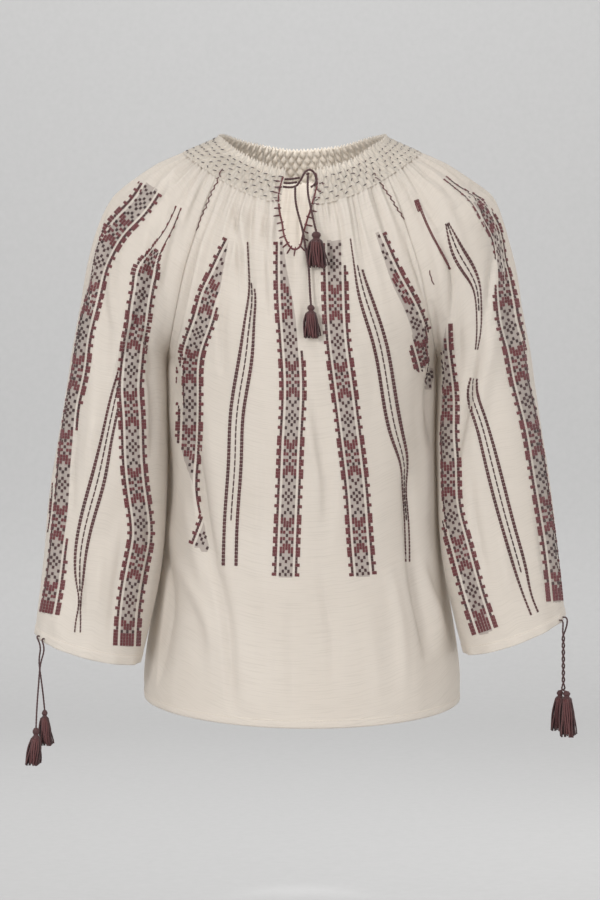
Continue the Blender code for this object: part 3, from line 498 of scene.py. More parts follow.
def cuff_puckers_at(stations, across):
    """Puckers where the cord draws the cuff in."""
    t = stations[:, None]
    s = across[None, :]
    near = np.clip((t - CUFF_PUCKER_START) / (LAST - CUFF_PUCKER_START), 0.0, 1.0) ** 2
    edge = np.clip((1.0 - np.abs(s)) / 0.08, 0.0, 1.0)
    return CUFF_PUCKER_HEIGHT * np.cos(math.pi * CUFF_PUCKERS * (s + 1.0)) * near * edge


# %% Creases listed one by one
# For each panel: half width and height in mm (a trough is negative), side step in mm (one side
# stands above the other), and the line, picture dots across and down
CREASES = {
    "front": [
        (5, -3, 2.2, [(189, 432), (194, 462), (198, 492), (203, 522), (213, 560)]),
        (7, -2.8, 1.8, [(208, 545), (218, 585), (224, 612), (228, 660), (230, 716)]),
        (7, -1.8, 0.8, [(163, 548), (170, 590), (166, 640), (156, 690)]),
        (9, 2, 0, [(186, 500), (196, 545), (207, 590), (212, 640), (214, 700)]),
        (6, -1.6, 0.8, [(160, 537), (167, 570), (166, 605), (160, 645), (158, 690)]),
        (7, 1.4, 0, [(176, 560), (190, 585), (204, 612), (214, 650)]),
        (6, -2.2, 0.6, [(158, 390), (163, 416), (167, 450), (168, 490), (166, 530)]),
        (4.5, -3.4, 0.8, [(404, 470), (406, 500), (408, 540), (409, 575)]),
        (7, -2.4, 0.8, [(408, 566), (413, 594), (420, 623), (425, 662)]),
        (6, 1.8, 0, [(420, 560), (428, 590), (436, 620), (440, 660)]),
        (6, -1.4, 0.6, [(426, 560), (434, 590), (444, 615), (449, 650)]),
        (6, 1.2, 0, [(388, 560), (396, 600), (402, 650), (404, 705)]),
        (7, 1.7, 0.9, [(303, 385), (309, 420), (314, 450), (319, 480), (321, 520)]),
        (8, -1.1, 0.4, [(312, 400), (318, 440), (323, 480), (326, 530)]),
        (7, 1, 0, [(330, 410), (336, 450), (338, 500), (336, 560)]),
        (8, -1, 0.5, [(318, 560), (324, 602), (330, 640), (332, 690)]),
        (9, 0.9, 0, [(262, 560), (266, 610), (268, 660), (266, 715)]),
        (7, -0.9, 0.4, [(259, 430), (262, 480), (260, 530), (262, 590)]),
        (9, -1, 0.4, [(292, 600), (288, 640), (290, 680), (288, 720)]),
        (9, 0.9, 0, [(368, 600), (372, 640), (378, 680), (380, 716)]),
        (4.5, -1.8, 0.7, [(233, 200), (236, 230), (238, 262), (239, 300)]),
        (4.5, -1.9, 0.9, [(249, 205), (250, 235), (249, 262), (251, 300), (250, 340)]),
        (4, 1.5, 0, [(241, 198), (243, 232), (245, 262)]),
        (4.5, -1.6, 0.6, [(262, 205), (265, 240), (268, 280), (271, 330)]),
        (4.5, 1.5, 0, [(271, 205), (272, 240), (274, 275)]),
        (4, -1.5, 0.6, [(329, 190), (330, 220), (332, 250)]),
        (4.5, 1.4, 0, [(340, 190), (344, 215), (347, 240)]),
        (4, -1.7, 0.8, [(352, 188), (357, 215), (361, 240), (367, 270)]),
        (4.5, -1.5, 0.6, [(368, 182), (376, 205), (383, 228), (392, 254)]),
        (4, 1.3, 0, [(361, 184), (368, 208), (373, 232)]),
        (5, -1.3, 0.5, [(301, 345), (304, 300), (303, 262)]),
        (5, 1.2, 0, [(316, 262), (322, 300), (326, 350), (328, 390)]),
        (5.5, -1.8, 0.7, [(226, 268), (222, 300), (220, 340), (222, 380)]),
        (5, -1.6, -0.8, [(199, 232), (194, 262), (186, 300), (176, 340), (168, 366)]),
        (5, 1.4, 0, [(208, 222), (202, 250), (194, 290), (184, 330)]),
        (5, -2.2, 0.8, [(168, 353), (160, 366), (152, 377)]),
        (6, -1.6, 0.6, [(176, 352), (172, 380), (170, 410)]),
        (5, -2.2, 0.9, [(404, 226), (414, 262), (424, 292), (431, 322), (433, 352)]),
        (5, -2.6, -1, [(436, 330), (437, 360), (432, 385), (430, 410), (431, 450)]),
        (6, 1.6, 0, [(424, 380), (424, 420), (427, 470), (430, 520)]),
    ],
    "sleeve_right": [
        (5, -2.4, 1, [(152, 226), (147, 262), (143, 292), (135, 322), (125, 348), (113, 402)]),
        (6, 2, 0, [(160, 236), (156, 270), (150, 300), (143, 330)]),
        (5, -1.8, 0.6, [(185, 190), (176, 226), (168, 258), (162, 292)]),
        (5, 1.5, 0, [(172, 196), (164, 222), (158, 246)]),
        (4.5, -1.6, 0.6, [(160, 172), (150, 190), (141, 208)]),
        (4.5, 1.4, 0, [(178, 166), (170, 184), (164, 204)]),
        (4, -1.6, 0.8, [(77, 410), (74, 440), (71, 480), (71, 520)]),
        (6, 1.5, 0, [(96, 420), (90, 450), (84, 480)]),
        (5, -1.8, -0.8, [(152, 377), (148, 352), (144, 330), (146, 305)]),
        (5, -2, 0.8, [(145, 364), (150, 388), (152, 420), (150, 460)]),
        (4.5, -2.4, 0.9, [(80, 560), (80, 585), (80, 604), (78, 630)]),
        (6, -1.4, 0.5, [(122, 520), (118, 560), (112, 600), (108, 640)]),
        (7, 1.4, 0, [(100, 540), (98, 580), (96, 620)]),
        (6, -1.5, 0.6, [(143, 500), (147, 540), (144, 580), (138, 620)]),
        (6, -1.2, 0.4, [(58, 560), (54, 590), (48, 618)]),
    ],
    "sleeve_left": [
        (4.5, -2.6, 1.2, [(436, 228), (443, 250), (450, 272), (451, 300), (450, 324)]),
        (6, 1.8, 0, [(430, 240), (437, 262), (441, 290), (442, 320)]),
        (5, -2.2, -0.9, [(497, 232), (496, 252), (493, 274), (490, 296), (484, 326), (479, 352)]),
        (5, -2.4, -1.2, [(481, 336), (476, 362), (472, 390), (466, 420), (459, 456), (456, 490)]),
        (8, 2.6, 0, [(497, 318), (490, 350), (484, 384), (478, 420), (470, 460)]),
        (4, -1.3, 0.4, [(458, 266), (459, 300), (459, 340), (461, 376)]),
        (5, -1.6, 0.6, [(408, 186), (418, 200), (430, 216), (442, 236)]),
        (5, 1.6, 0, [(425, 178), (440, 192), (455, 208)]),
        (4.5, -1.6, 0.6, [(470, 182), (478, 196), (484, 208)]),
        (5, 1.4, 0, [(462, 196), (474, 212), (484, 230)]),
        (5, -1.8, 0.7, [(470, 470), (473, 510), (480, 550), (490, 590)]),
        (7, 1.5, 0, [(500, 520), (504, 560), (512, 600)]),
        (6, -1.5, 0.6, [(534, 500), (540, 540), (546, 580), (550, 606)]),
        (6, -1.4, 0.6, [(461, 560), (468, 590), (474, 620), (480, 640)]),
        (5, -1.8, -0.7, [(432, 300), (436, 330), (440, 352)]),
    ],
    "back": [
        (6, -1.8, 0.7, [(250, 190), (246, 250), (250, 330)]),
        (6, -1.8, -0.7, [(350, 190), (356, 250), (350, 340)]),
        (7, 1.6, 0, [(300, 190), (304, 260), (300, 350)]),
        (8, -1.6, 0.6, [(210, 480), (222, 560), (228, 640), (226, 700)]),
        (8, -1.6, -0.6, [(396, 470), (386, 560), (382, 640), (384, 704)]),
        (9, 1.3, 0, [(316, 560), (312, 620), (314, 690)]),
        (8, -1.2, 0.5, [(272, 420), (276, 480), (272, 560), (276, 640)]),
        (8, -1.2, -0.5, [(340, 440), (334, 520), (338, 600), (334, 690)]),
        (6, -2, 0.8, [(176, 330), (186, 372), (190, 430)]),
        (6, -2, -0.8, [(424, 330), (414, 372), (410, 430)]),
        (7, -1.4, 0.6, [(230, 340), (262, 372), (300, 384), (338, 374), (370, 344)]),
        (8, 1, 0, [(236, 366), (268, 396), (300, 404), (334, 398), (364, 368)]),
    ],
}
# The same kind of creases on the back of the sleeves, across seen from behind
SLEEVE_BACK_CREASES = [
    (5, -1.8, 0.7, [(474, 200), (484, 250), (490, 320), (486, 390)]),
    (6, 1.8, 0, [(456, 220), (466, 270), (474, 340)]),
    (6, -1.6, 0.6, [(452, 330), (462, 400), (470, 470), (474, 530)]),
    (6, -1.5, -0.6, [(512, 380), (508, 440), (514, 520), (526, 590)]),
    (7, 1.4, 0, [(492, 470), (496, 530), (500, 590)]),
]
# On the outer side of the sleeves, across seen from the side
SLEEVE_SIDE_CREASES = [
    (6, -1.8, 0.7, [(280, 170), (290, 250), (286, 340)]),
    (6, -1.6, -0.6, [(316, 150), (307, 240), (312, 330)]),
    (7, 1.6, 0, [(298, 160), (300, 240), (298, 300)]),
    (6, -1.7, 0.7, [(296, 330), (280, 420), (274, 520)]),
    (7, -1.5, -0.6, [(326, 300), (310, 400), (300, 500), (298, 600)]),
    (8, 1.5, 0, [(296, 440), (288, 520), (282, 600)]),
]


def creases_at(table, places, facing):
    """Height of the creases at picture places, fading where the cloth turns away."""
    height = np.zeros(places.shape[:-1])
    for width, rise, step, line in table:
        line = smooth_route(line, 10.0)
        along = walked(line)
        best = np.full(height.shape, 1e9)
        share = np.zeros(height.shape)
        side = np.ones(height.shape)
        for k in range(len(line) - 1):
            run = line[k + 1] - line[k]
            length = np.linalg.norm(run)
            f = np.clip(((places - line[k]) @ run) / length ** 2, 0.0, 1.0)
            off = places - (line[k] + f[..., None] * run)
            away = np.linalg.norm(off, axis=-1)
            nearer = away < best
            best = np.where(nearer, away, best)
            share = np.where(nearer, (along[k] + f * length) / along[-1], share)
            side = np.where(nearer, np.sign(run[0] * off[..., 1] - run[1] * off[..., 0]), side)
        swell = np.sin(math.pi * np.clip(share, 0.0, 1.0)) ** 0.7
        reach = best * PICTURE_SCALE / (0.001 * width)
        soft = np.exp(-reach ** 2)
        line_shape = np.exp(-1.5 * reach) if rise < 0.0 else soft
        height += 0.001 * swell * (rise * line_shape + step * side * reach * 1.6 * soft)
    return height * facing


crease_tables = [*CREASES.values(), SLEEVE_BACK_CREASES, SLEEVE_SIDE_CREASES]
print("creases placed by hand:", sum(len(table) for table in crease_tables))

# %% [markdown]
# ## Panels as surfaces
#
# A panel is kept as a fine grid of points with its directions outwards. Everything sewn onto
# the cloth asks this grid where the cloth is, so stitches never float or sink. The very small
# unevenness of worn cotton is smooth noise, drawn out along the body because cloth hangs.

# %% Fine surfaces
PANEL_SIZES = {
    "front": (200, 150),
    "back": (170, 130),
    "sleeve_right": (190, 124),
    "sleeve_left": (190, 124),
}
GATHER_SWELL = 1.4
CREASE_SWELL = 2.4
SIDE_EASE = 0.0015  # sleeves and body lean on each other below the armpit
FOLD_SHARE = 0.75  # the listed creases take over part of the large folds
WRINKLE_SIZES = (0.045, 0.017)
WRINKLE_HEIGHTS = (0.0011, 0.00035)
HEM_ROLL = 0.0006  # how far the turned hem stands proud
HEM_STATION = 0.033  # metres of cloth in one station at the hem
CUFF_STATION = 0.0185  # and at the cuff
TURNED_EDGE = 0.0012  # how soon the turned cloth reaches its height
EASE_FIRST = 5.9  # stations between which sleeves and body lean on each other
EASE_LAST = 12.6


def wrinkles(points, seed):
    """Small uneven heights, longer down the cloth than across it."""
    flat = points.reshape(-1, 3)
    total = np.zeros(len(flat))
    for size, height in zip(WRINKLE_SIZES, WRINKLE_HEIGHTS):
        scale = Vector((1.0 / size, 1.0 / size, 0.42 / size))
        shift = Vector((seed, 2.0 * seed, 3.0 * seed))
        total += height * np.array([noise.noise(Vector(p) * scale + shift) for p in flat.tolist()])
    return total.reshape(points.shape[:-1])


def build_surface(name, seed):
    """Fine outer surface of a panel, with its outward directions and picture places."""
    rows, columns = PANEL_SIZES[name]
    stations = np.linspace(0.0, LAST, rows)
    across = np.linspace(-1.0, 1.0, columns)
    base, normals = plain_panel(name, stations, across)
    height = FOLD_SHARE * folds_at(FOLDS[name], stations, across)
    height = height + GATHER_SWELL * gathers_at(name, stations, across)
    is_sleeve = name in SLEEVE_SIDES
    if is_sleeve:
        height = height + cuff_puckers_at(stations, across)
    towards_camera = np.clip(-normals[..., 1] * 4.0, 0.0, 1.0)
    away = np.clip(normals[..., 1] * 4.0, 0.0, 1.0)
    from_front = picture_of(base)
    flat = base.copy()
    flat[..., 1] = 0.0
    from_behind = picture_of(flat)
    if name == "back":
        height += CREASE_SWELL * creases_at(CREASES["back"], from_behind, away)
    else:
        height += CREASE_SWELL * creases_at(CREASES[name], from_front, towards_camera)
    if is_sleeve:
        side = SLEEVE_SIDES[name][0]
        mirrored = from_behind.copy()
        mirrored[..., 0] = PICTURE_MIDDLE[0] + side * (from_behind[..., 0] - PICTURE_MIDDLE[0])
        height += CREASE_SWELL * creases_at(SLEEVE_BACK_CREASES, mirrored, away)
        sideways = np.clip(4.0 * side * normals[..., 0] - 2.0, 0.0, 1.0)
        turned = np.stack([PICTURE_MIDDLE[0] + base[..., 1] / PICTURE_SCALE,
                           from_behind[..., 1]], axis=-1)
        height += CREASE_SWELL * creases_at(SLEEVE_SIDE_CREASES, turned, sideways)
    edge = np.clip((1.0 - np.abs(across)) / 0.05, 0.0, 1.0)[None, :]
    top = np.clip(stations / 0.8, 0.0, 1.0)[:, None]
    height += wrinkles(base, seed) * np.clip(edge, 0.25, 1.0) * top
    height = height * np.clip(edge * 1.5, 0.0, 1.0)
    depth = CASING_DEPTH if is_sleeve else HEM_DEPTH
    row_length = CUFF_STATION if is_sleeve else HEM_STATION
    band = np.clip((stations - (LAST - depth / row_length)) * row_length / TURNED_EDGE, 0.0, 1.0)
    proud = 0.5 * (CASING_WALL - CLOTH) if is_sleeve else HEM_ROLL
    height = height + proud * np.sin(0.5 * math.pi * band)[:, None]
    points = base + normals * height[..., None]
    ease = np.clip((stations - EASE_FIRST) / 0.9, 0.0, 1.0)
    ease = ease * np.clip((EASE_LAST - stations) / 2.0, 0.0, 1.0)
    lean = ease[:, None] * np.abs(across)[None, :] ** (2.0 if is_sleeve else 6.0)
    points[..., 0] += (-1.0 if is_sleeve else 0.8) * SIDE_EASE * np.sign(points[..., 0]) * lean
    fine_normals = grid_normals(points)
    fine_normals *= np.sign(np.sum(fine_normals * normals, axis=-1, keepdims=True))
    print(name, "rows", rows, "columns", columns, "highest", round(float(height.max()) * 1000, 1), "mm")
    return {"points": points, "normals": fine_normals, "stations": stations}


surfaces = {name: build_surface(name, 3.7 * (k + 1)) for k, name in enumerate(PANEL_SIZES)}

# %% [markdown]
# ## Cotton voile
#
# Voile is a light plain weave with slubs, thin places and a soft, dull face. The weave is a bump
# from two sets of fine waves, at the true 0.6 mm pitch; slubs are noise drawn out along each
# set of threads. A little light passes through, which keeps the hollows warm. The ground under
# the counted bands is greyer, because dark threads pass behind it.

# %% Cotton voile
COTTON_LIGHT = "#eae4dc"
COTTON_DEEP = "#e1d9cf"
BAND_GROUND = "#beb3ac"
SLUB_TONE = "#cbc4ba"
WEAVE_SCALE = 520.0
THROUGH_SHARE = 0.42  # share of the light that passes through
PATCHES = 9.0  # how many uneven patches of tone lie along a metre
PLEAT_PATCHES = 60.0


def attribute(tree, name):
    """Node that reads a value kept on the mesh."""
    return add_node(tree, "ShaderNodeAttribute", {"attribute_name": name})


def maths(tree, operation, *sources):
    """A math node whose sources are sockets or plain numbers."""
    node = add_node(tree, "ShaderNodeMath", {"operation": operation})
    for k, source in enumerate(sources):
        if isinstance(source, (int, float)):
            node.inputs[k].default_value = source
        else:
            tree.links.new(source, node.inputs[k])
    return node.outputs[0]


def mixed(tree, share, first, second):
    """Colour between two colours or sockets."""
    node = add_node(tree, "ShaderNodeMix", {"data_type": "RGBA"})
    for socket, source in ((0, share), (6, first), (7, second)):
        if isinstance(source, (float, tuple)):
            node.inputs[socket].default_value = source
        else:
            tree.links.new(source, node.inputs[socket])
    return node.outputs[2]


def soft_noise(tree, place, scale, detail):
    """Value that drifts softly from place to place."""
    values = {"Scale": scale, "Detail": detail}
    return add_node(tree, "ShaderNodeTexNoise", None, values, {"Vector": place}).outputs[0]


def held(tree, value, top):
    """A value kept between 0 and a top."""
    return maths(tree, "MINIMUM", maths(tree, "MAXIMUM", value, 0.0), top)


def between(tree, value, low, high):
    """1 where the value lies between low and high, with soft ends."""
    above = maths(tree, "SUBTRACT", value, low)
    below = maths(tree, "SUBTRACT", high, value)
    near = maths(tree, "MINIMUM", above, below)
    return held(tree, maths(tree, "MULTIPLY", near, 2.5), 1.0)


def cotton(name, light, deep, has_bands, tone_scale):
    """Light woven cotton, with the ground of the bands where a panel has them."""
    made, tree, shader = new_material(name, 0.88, sheen=0.18)
    place = attribute(tree, "cloth_place").outputs["Vector"]
    body = add_node(tree, "ShaderNodeTexCoord").outputs["Object"]
    tone = soft_noise(tree, body, tone_scale, 4.0)
    colour = mixed(tree, tone, linear(light), linear(deep))
    drawn = add_node(tree, "ShaderNodeMapping", None, {"Scale": (26.0, 950.0, 1.0)}, {"Vector": place})
    weft = soft_noise(tree, drawn.outputs[0], 1.0, 3.0)
    thick = maths(tree, "MULTIPLY", maths(tree, "SUBTRACT", weft, 0.50), 1.6)
    colour = mixed(tree, held(tree, thick, 0.28), colour, linear(SLUB_TONE))
    if has_bands:
        side = attribute(tree, "band_side").outputs["Fac"]
        low = attribute(tree, "band_low").outputs["Fac"]
        high = attribute(tree, "band_high").outputs["Fac"]
        painted = maths(tree, "GREATER_THAN", attribute(tree, "band_on").outputs["Fac"], 0.995)
        ground = maths(tree, "MULTIPLY", between(tree, side, low, high), painted)
        colour = mixed(tree, maths(tree, "MULTIPLY", ground, 0.85), colour, linear(BAND_GROUND))
    height = None
    for direction, stretch in (("X", (900.0, 60.0, 1.0)), ("Y", (60.0, 900.0, 1.0))):
        wave = add_node(tree, "ShaderNodeTexWave", {"bands_direction": direction},
                        {"Scale": WEAVE_SCALE, "Distortion": 0.6, "Detail": 1.0},
                        {"Vector": place})
        drawn = add_node(tree, "ShaderNodeMapping", None, {"Scale": stretch}, {"Vector": place})
        slub = soft_noise(tree, drawn.outputs[0], 1.0, 2.0)
        both = maths(tree, "ADD", wave.outputs["Fac"], maths(tree, "MULTIPLY", slub, 2.0))
        height = both if height is None else maths(tree, "ADD", height, both)
    bump = add_node(tree, "ShaderNodeBump", None, {"Strength": 0.35, "Distance": 0.00012},
                    {"Height": height})
    tree.links.new(bump.outputs[0], shader.inputs["Normal"])
    tree.links.new(colour, shader.inputs["Base Color"])
    through = add_node(tree, "ShaderNodeBsdfTranslucent", None, None, {"Color": colour})
    blend = add_node(tree, "ShaderNodeMixShader", None, {0: THROUGH_SHARE},
                     {1: shader.outputs[0], 2: through.outputs[0]})
    output = tree.nodes["Material Output"]
    tree.links.new(blend.outputs[0], output.inputs["Surface"])
    return made


# Cream voile of the front and sleeves, with a greyer ground under the wide bands
voile = cotton("cotton voile", COTTON_LIGHT, COTTON_DEEP, True, PATCHES)
# The same voile without bands, for the back
plain_voile = cotton("plain cotton voile", COTTON_LIGHT, COTTON_DEEP, False, PATCHES)
# The pleated neck, where the tone changes from pleat to pleat
smocked = cotton("smocked cotton voile", "#ece6dd", "#dad1c5", False, PLEAT_PATCHES)
print("cloth materials:", voile.name, plain_voile.name, smocked.name)

# %% [markdown]
# ## Where a picture place lies on the cloth
#
# A line of sight through a picture place is followed until it meets a panel. A stitch then takes
# the cloth's own direction outwards there, so it lies flat on every fold.

# %% Lines of sight
def tree_of(names, forms):
    """Search tree over one or more panels, with an outward direction for each of its faces."""
    spots = []
    faces = []
    outward = []
    start = 0
    for name in names:
        form = forms[name]
        quads = quads_of(form["points"])
        spots.append(form["points"].reshape(-1, 3))
        faces.append(quads + start)
        outward.append(form["normals"].reshape(-1, 3)[quads].mean(axis=1))
        start += form["points"].shape[0] * form["points"].shape[1]
    spots = np.concatenate(spots)
    tree = bvhtree.BVHTree.FromPolygons(spots.tolist(), np.concatenate(faces).tolist())
    return {"tree": tree, "outward": np.concatenate(outward), "spots": spots}


def sight(where, spot):
    """Where the line of sight through a picture place meets the cloth, or None."""
    eye = Vector((VIEW_MIDDLE[0], -CAMERA_DISTANCE, VIEW_MIDDLE[1]))
    aim = Vector((
        VIEW_MIDDLE[0] + (spot[0] - PICTURE_MIDDLE[0]) * PICTURE_SCALE,
        0.0,
        VIEW_MIDDLE[1] + (PICTURE_MIDDLE[1] - spot[1]) * PICTURE_SCALE,
    ))
    hit = where["tree"].ray_cast(eye, (aim - eye).normalized())[0]
    return None if hit is None else np.array(hit)


def seen_at(where, spot):
    """Place on the cloth in the line of sight, or the nearest one beside it."""
    hit = sight(where, spot)
    if hit is None:
        away = np.linalg.norm(picture_of(where["spots"]) - np.asarray(spot[:2]), axis=-1)
        return where["spots"][int(np.argmin(away))]
    return hit


def nearest(where, point):
    """Nearest place on the cloth and its outward direction."""
    place, _, index, _ = where["tree"].find_nearest(Vector(point.tolist()))
    normal = where["outward"][index]
    return np.array(place), normal / np.linalg.norm(normal)


trees = {name: tree_of([name], surfaces) for name in PANEL_SIZES}
print("search trees:", len(trees))

# %% [markdown]
# ## The motif, counted from the cloth
#
# Each wide band repeats 24 rows of five cells, with a dotted column on each side that widens
# into blocks. An X is a stitched cell. Rows are counted upwards. Stitched cells with a stitched
# neighbour beside them read as burgundy; lone ones sink in and read almost black.

# %% Motif chart and bands
MOTIF = [
    "X.X.X", ".X.X.", "..X..", "X...X", "..X..", ".X.X.", "X...X", "XX.XX",
    "XXXXX", ".XXX.", "X.X.X", "XX.XX", "..X..", "XX.XX", "X.X.X", ".XXX.",
    "XXXXX", "XX.XX", "X...X", ".X.X.", "..X..", "X...X", "..X..", ".X.X.",
]
BLOCK_ROWS = {0, 3, 6, 7, 8, 10, 11, 13, 14, 16, 17, 18, 21}
ANCHOR_ROW = 7.5
ROW_PITCH = 0.00345  # metres down the band
CELL_ACROSS = 3.08  # millimetres across it, and so are the three columns
DOT_COLUMN = 11.4
BLOCK_COLUMN = 13.9
NARROW_COLUMN = 7.0
NARROW_DASH_PITCH = 0.0073
FACING_REACH = 0.022  # how far a stitch may shift where the cloth faces the camera
SLANTING_REACH = 0.006  # and where it slants away

# Wide bands: panel, picture height of row 7.5, line (x, y and the share of the width, if not
# whole), then the lowest and highest place across that shows, in mm, at picture heights
WIDE_BANDS = [
    ("front", 311, [
        (235.5, 243), (226, 262), (216.5, 282), (211, 293), (204, 317), (192, 353), (190, 390),
        (189.5, 426), (188, 455), (186, 480), (187, 500), (190, 516),
    ], [(243, -15.5), (436, -15.5), (455, -4.4), (470, 2.6), (480, 7.5), (492, 10.6), (516, 11)],
     [(243, -9.5), (262, -3), (282, 4), (293, 8), (317, 15.5), (500, 15.5), (508, 12)]),
    ("front", 311, [
        (212, 519), (210, 525), (205.5, 537), (201, 549),
    ], [(519, -15.5)], [(519, -13), (549, 9)]),
    ("front", 472, [
        (287, 242), (287.5, 293), (290.5, 341), (293, 390), (291, 438), (289, 487), (287, 535),
        (285.5, 576),
    ], [(242, -15.5)], [(242, -6), (273, -1), (304, 4.5), (341, 8), (365, 15.5)]),
    ("front", 472, [
        (334, 243), (335, 293), (337.6, 341), (344, 390), (350, 438), (356, 487), (359.6, 535),
        (363, 576),
    ], [(243, -15.5)], [(243, 7.7), (262, 9), (275, 15.5)]),
    ("front", 303, [
        (373, 236), (384, 261), (396.5, 286), (409, 309), (417.5, 331), (423, 350), (428, 370),
        (430, 388),
    ], [(236, 5), (261, 2), (286, -2), (331, -4.5), (350, -15.5), (372, -15.5), (375, -7.7)],
     [(236, 15.5), (331, 15.5), (362, 8), (388, 0)]),
    ("sleeve_right", 461, [
        (151, 188), (139, 206), (120, 226), (106, 247), (96, 271), (90.6, 294), (85, 316),
        (80, 340), (77, 366), (72.5, 388), (69.7, 400), (66, 436), (63, 473), (61, 509), (56, 545),
        (51.5, 582), (46, 613),
    ], [(188, -15.5)],
     [(188, 15.5), (400, 15.5), (421, 12), (440, 10.5), (530, 10.5), (550, 13), (570, 15.5)]),
    ("sleeve_right", 423, [
        (179, 206, 0.24), (165, 236, 0.34), (158.6, 246, 0.42), (152.5, 257, 0.64), (147, 268),
        (143, 288), (140.5, 302), (137, 328), (133.7, 345), (132, 362), (130, 388), (131.5, 412),
        (132.7, 448), (135, 480), (139, 509), (141, 536), (137.5, 557), (131.5, 589), (128, 618),
        (126.6, 645),
    ], [(206, -15.5)], [(206, 15.5)]),
    ("sleeve_left", 417.5, [
        (439, 323), (440, 346), (443, 370), (446, 399), (446, 437), (448, 463), (450, 507),
        (457.5, 537), (467, 572), (475, 600), (485.6, 632),
    ], [(323, 10), (346, 4), (370, -3), (390, -7.7), (440, -15.5)], [(323, 15.5)]),
    ("sleeve_left", 303, [
        (445, 178, 0.16), (464, 192.4, 0.24), (475, 200, 0.44), (486, 215, 0.6), (492, 225, 0.62),
        (496.5, 236, 0.54), (499.3, 249, 0.48), (500.8, 261.6, 0.52), (502.8, 275, 0.68),
        (504, 288, 0.84), (506.3, 306, 0.96), (509.5, 326), (515, 345), (520, 370), (527, 399),
        (534, 427), (541, 468), (547, 504), (553, 541), (557, 572), (560, 602),
    ], [(178, -15.5), (250, -15.5), (269, -7), (300, -15.5)], [(178, 15.5)]),
]
# Narrow bands: panel, line as above, then the highest place across that shows
NARROW_BANDS = [
    ("front", [
        (248.6, 242, 0.2), (250, 273, 0.2), (252, 292, 0.5), (250, 317, 0.72), (245.8, 357),
        (237, 414), (235, 462), (231.6, 511), (229.7, 569),
    ], [(242, -2), (280, -2), (290, 9)]),
    ("front", [
        (352.6, 238, 0.35), (358, 268, 0.55), (364, 293, 0.85), (379, 341), (388, 390),
        (397.5, 438, 0.9), (403.5, 462, 0.6), (404, 487, 0.3), (405.7, 511, 0.3),
        (407.4, 564, 0.3),
    ], [(238, -2), (262, -2), (272, 9)]),
    ("sleeve_right", [
        (121, 372, 0.5), (115, 400, 0.75), (109.5, 425, 0.8), (105.5, 444, 0.85),
        (97.3, 482, 1.05), (88, 516), (80, 562, 0.78), (79.7, 585, 0.47), (79.8, 601, 0.15),
        (78.3, 620, 0.36), (77.5, 634, 0.45),
    ], [(372, 1), (400, 1), (410, 9)]),
    ("sleeve_left", [
        (447, 223, 0.2), (452, 237, 0.6), (459, 254, 0.9), (468.5, 270, 0.9), (476, 286, 0.6),
        (478.5, 303, 0.42), (479, 322, 0.35), (478, 340, 0.25), (476, 353, 0.15),
    ], [(236, 9)]),
    ("sleeve_left", [
        (474, 378, 0.5), (472.5, 392, 0.75), (478.5, 415, 0.85), (489, 452, 0.95), (498.5, 490),
        (510, 533, 0.95), (521, 572, 0.85), (528, 597, 0.6), (536, 617, 0.6),
    ], [(378, 9)]),
]


def band_line(panel, line):
    """The line of a band on the cloth: places walked, points, directions, picture heights."""
    route = smooth_route([(*spot, 1.0)[:3] for spot in line], 3.0)
    points = np.array([seen_at(trees[panel], spot) for spot in route])
    for _ in range(3):
        points[1:-1] = 0.25 * points[:-2] + 0.5 * points[1:-1] + 0.25 * points[2:]
    return {
        "panel": panel, "points": points, "along": walked(points),
        "down": route[:, 1], "share": np.clip(route[:, 2], 0.12, 1.1),
        "lead": np.gradient(points, axis=0),
    }


def band_frame(line, place):
    """Point, direction along, direction across, share of width and picture height at a place."""
    at = line["along"]
    point = np.array([np.interp(place, at, line["points"][:, k]) for k in range(3)])
    lead = np.array([np.interp(place, at, line["lead"][:, k]) for k in range(3)])
    lead /= np.linalg.norm(lead)
    _, normal = nearest(trees[line["panel"]], point)
    for _ in range(2):
        across = np.cross(lead, normal)
        across /= np.linalg.norm(across)
        sides = [nearest(trees[line["panel"]], point + across * off)[1]
                 for off in (-0.013, -0.007, 0.0, 0.007, 0.013)]
        normal = np.mean(sides, axis=0)
    if across[0] < 0.0:
        across = -across
    share = float(np.interp(place, at, line["share"]))
    return point, lead, across, share, float(np.interp(place, at, line["down"]))


def picture_frame(point, lead):
    """Picture place of a point and the unit direction across the band there."""
    spot = picture_of(point)
    ahead = picture_of(point + lead * 0.003) - spot
    ahead /= np.linalg.norm(ahead)
    side = np.array([-ahead[1], ahead[0]])
    return spot, side if side[0] > 0.0 else -side


def off_on_cloth(line, frame_at, off):
    """Place on the cloth at a distance across the band, as it is seen in the picture."""
    point, lead, across, _, _ = frame_at
    spot, side = picture_frame(point, lead)
    target = point + across * off
    hit = sight(trees[line["panel"]], spot + side * off / PICTURE_SCALE)
    if hit is None:
        return target
    # Cloth that turns away at the outline keeps the band's real width
    facing = -nearest(trees[line["panel"]], hit)[1][1]
    reach = FACING_REACH if facing > 0.5 else SLANTING_REACH if facing > 0.35 else 0.0
    is_near = reach > 0.0 and np.linalg.norm(hit - target) < 0.7 * abs(off) + reach
    return hit if is_near else target


def limit(table, down):
    """Place across where a band starts or stops showing at a picture height."""
    return float(np.interp(down, [row[0] for row in table], [row[1] for row in table]))


def lay_stitch(threads, where, middle, lead, length, width, shade, rise=0.0003):
    """Add one thread lying on the cloth at a place."""
    place, normal = nearest(where, middle)
    lead = lead - normal * float(lead @ normal)
    lead = lead / max(float(np.linalg.norm(lead)), 1e-9)
    threads.append((place + normal * rise, lead, normal, length, width, shade))


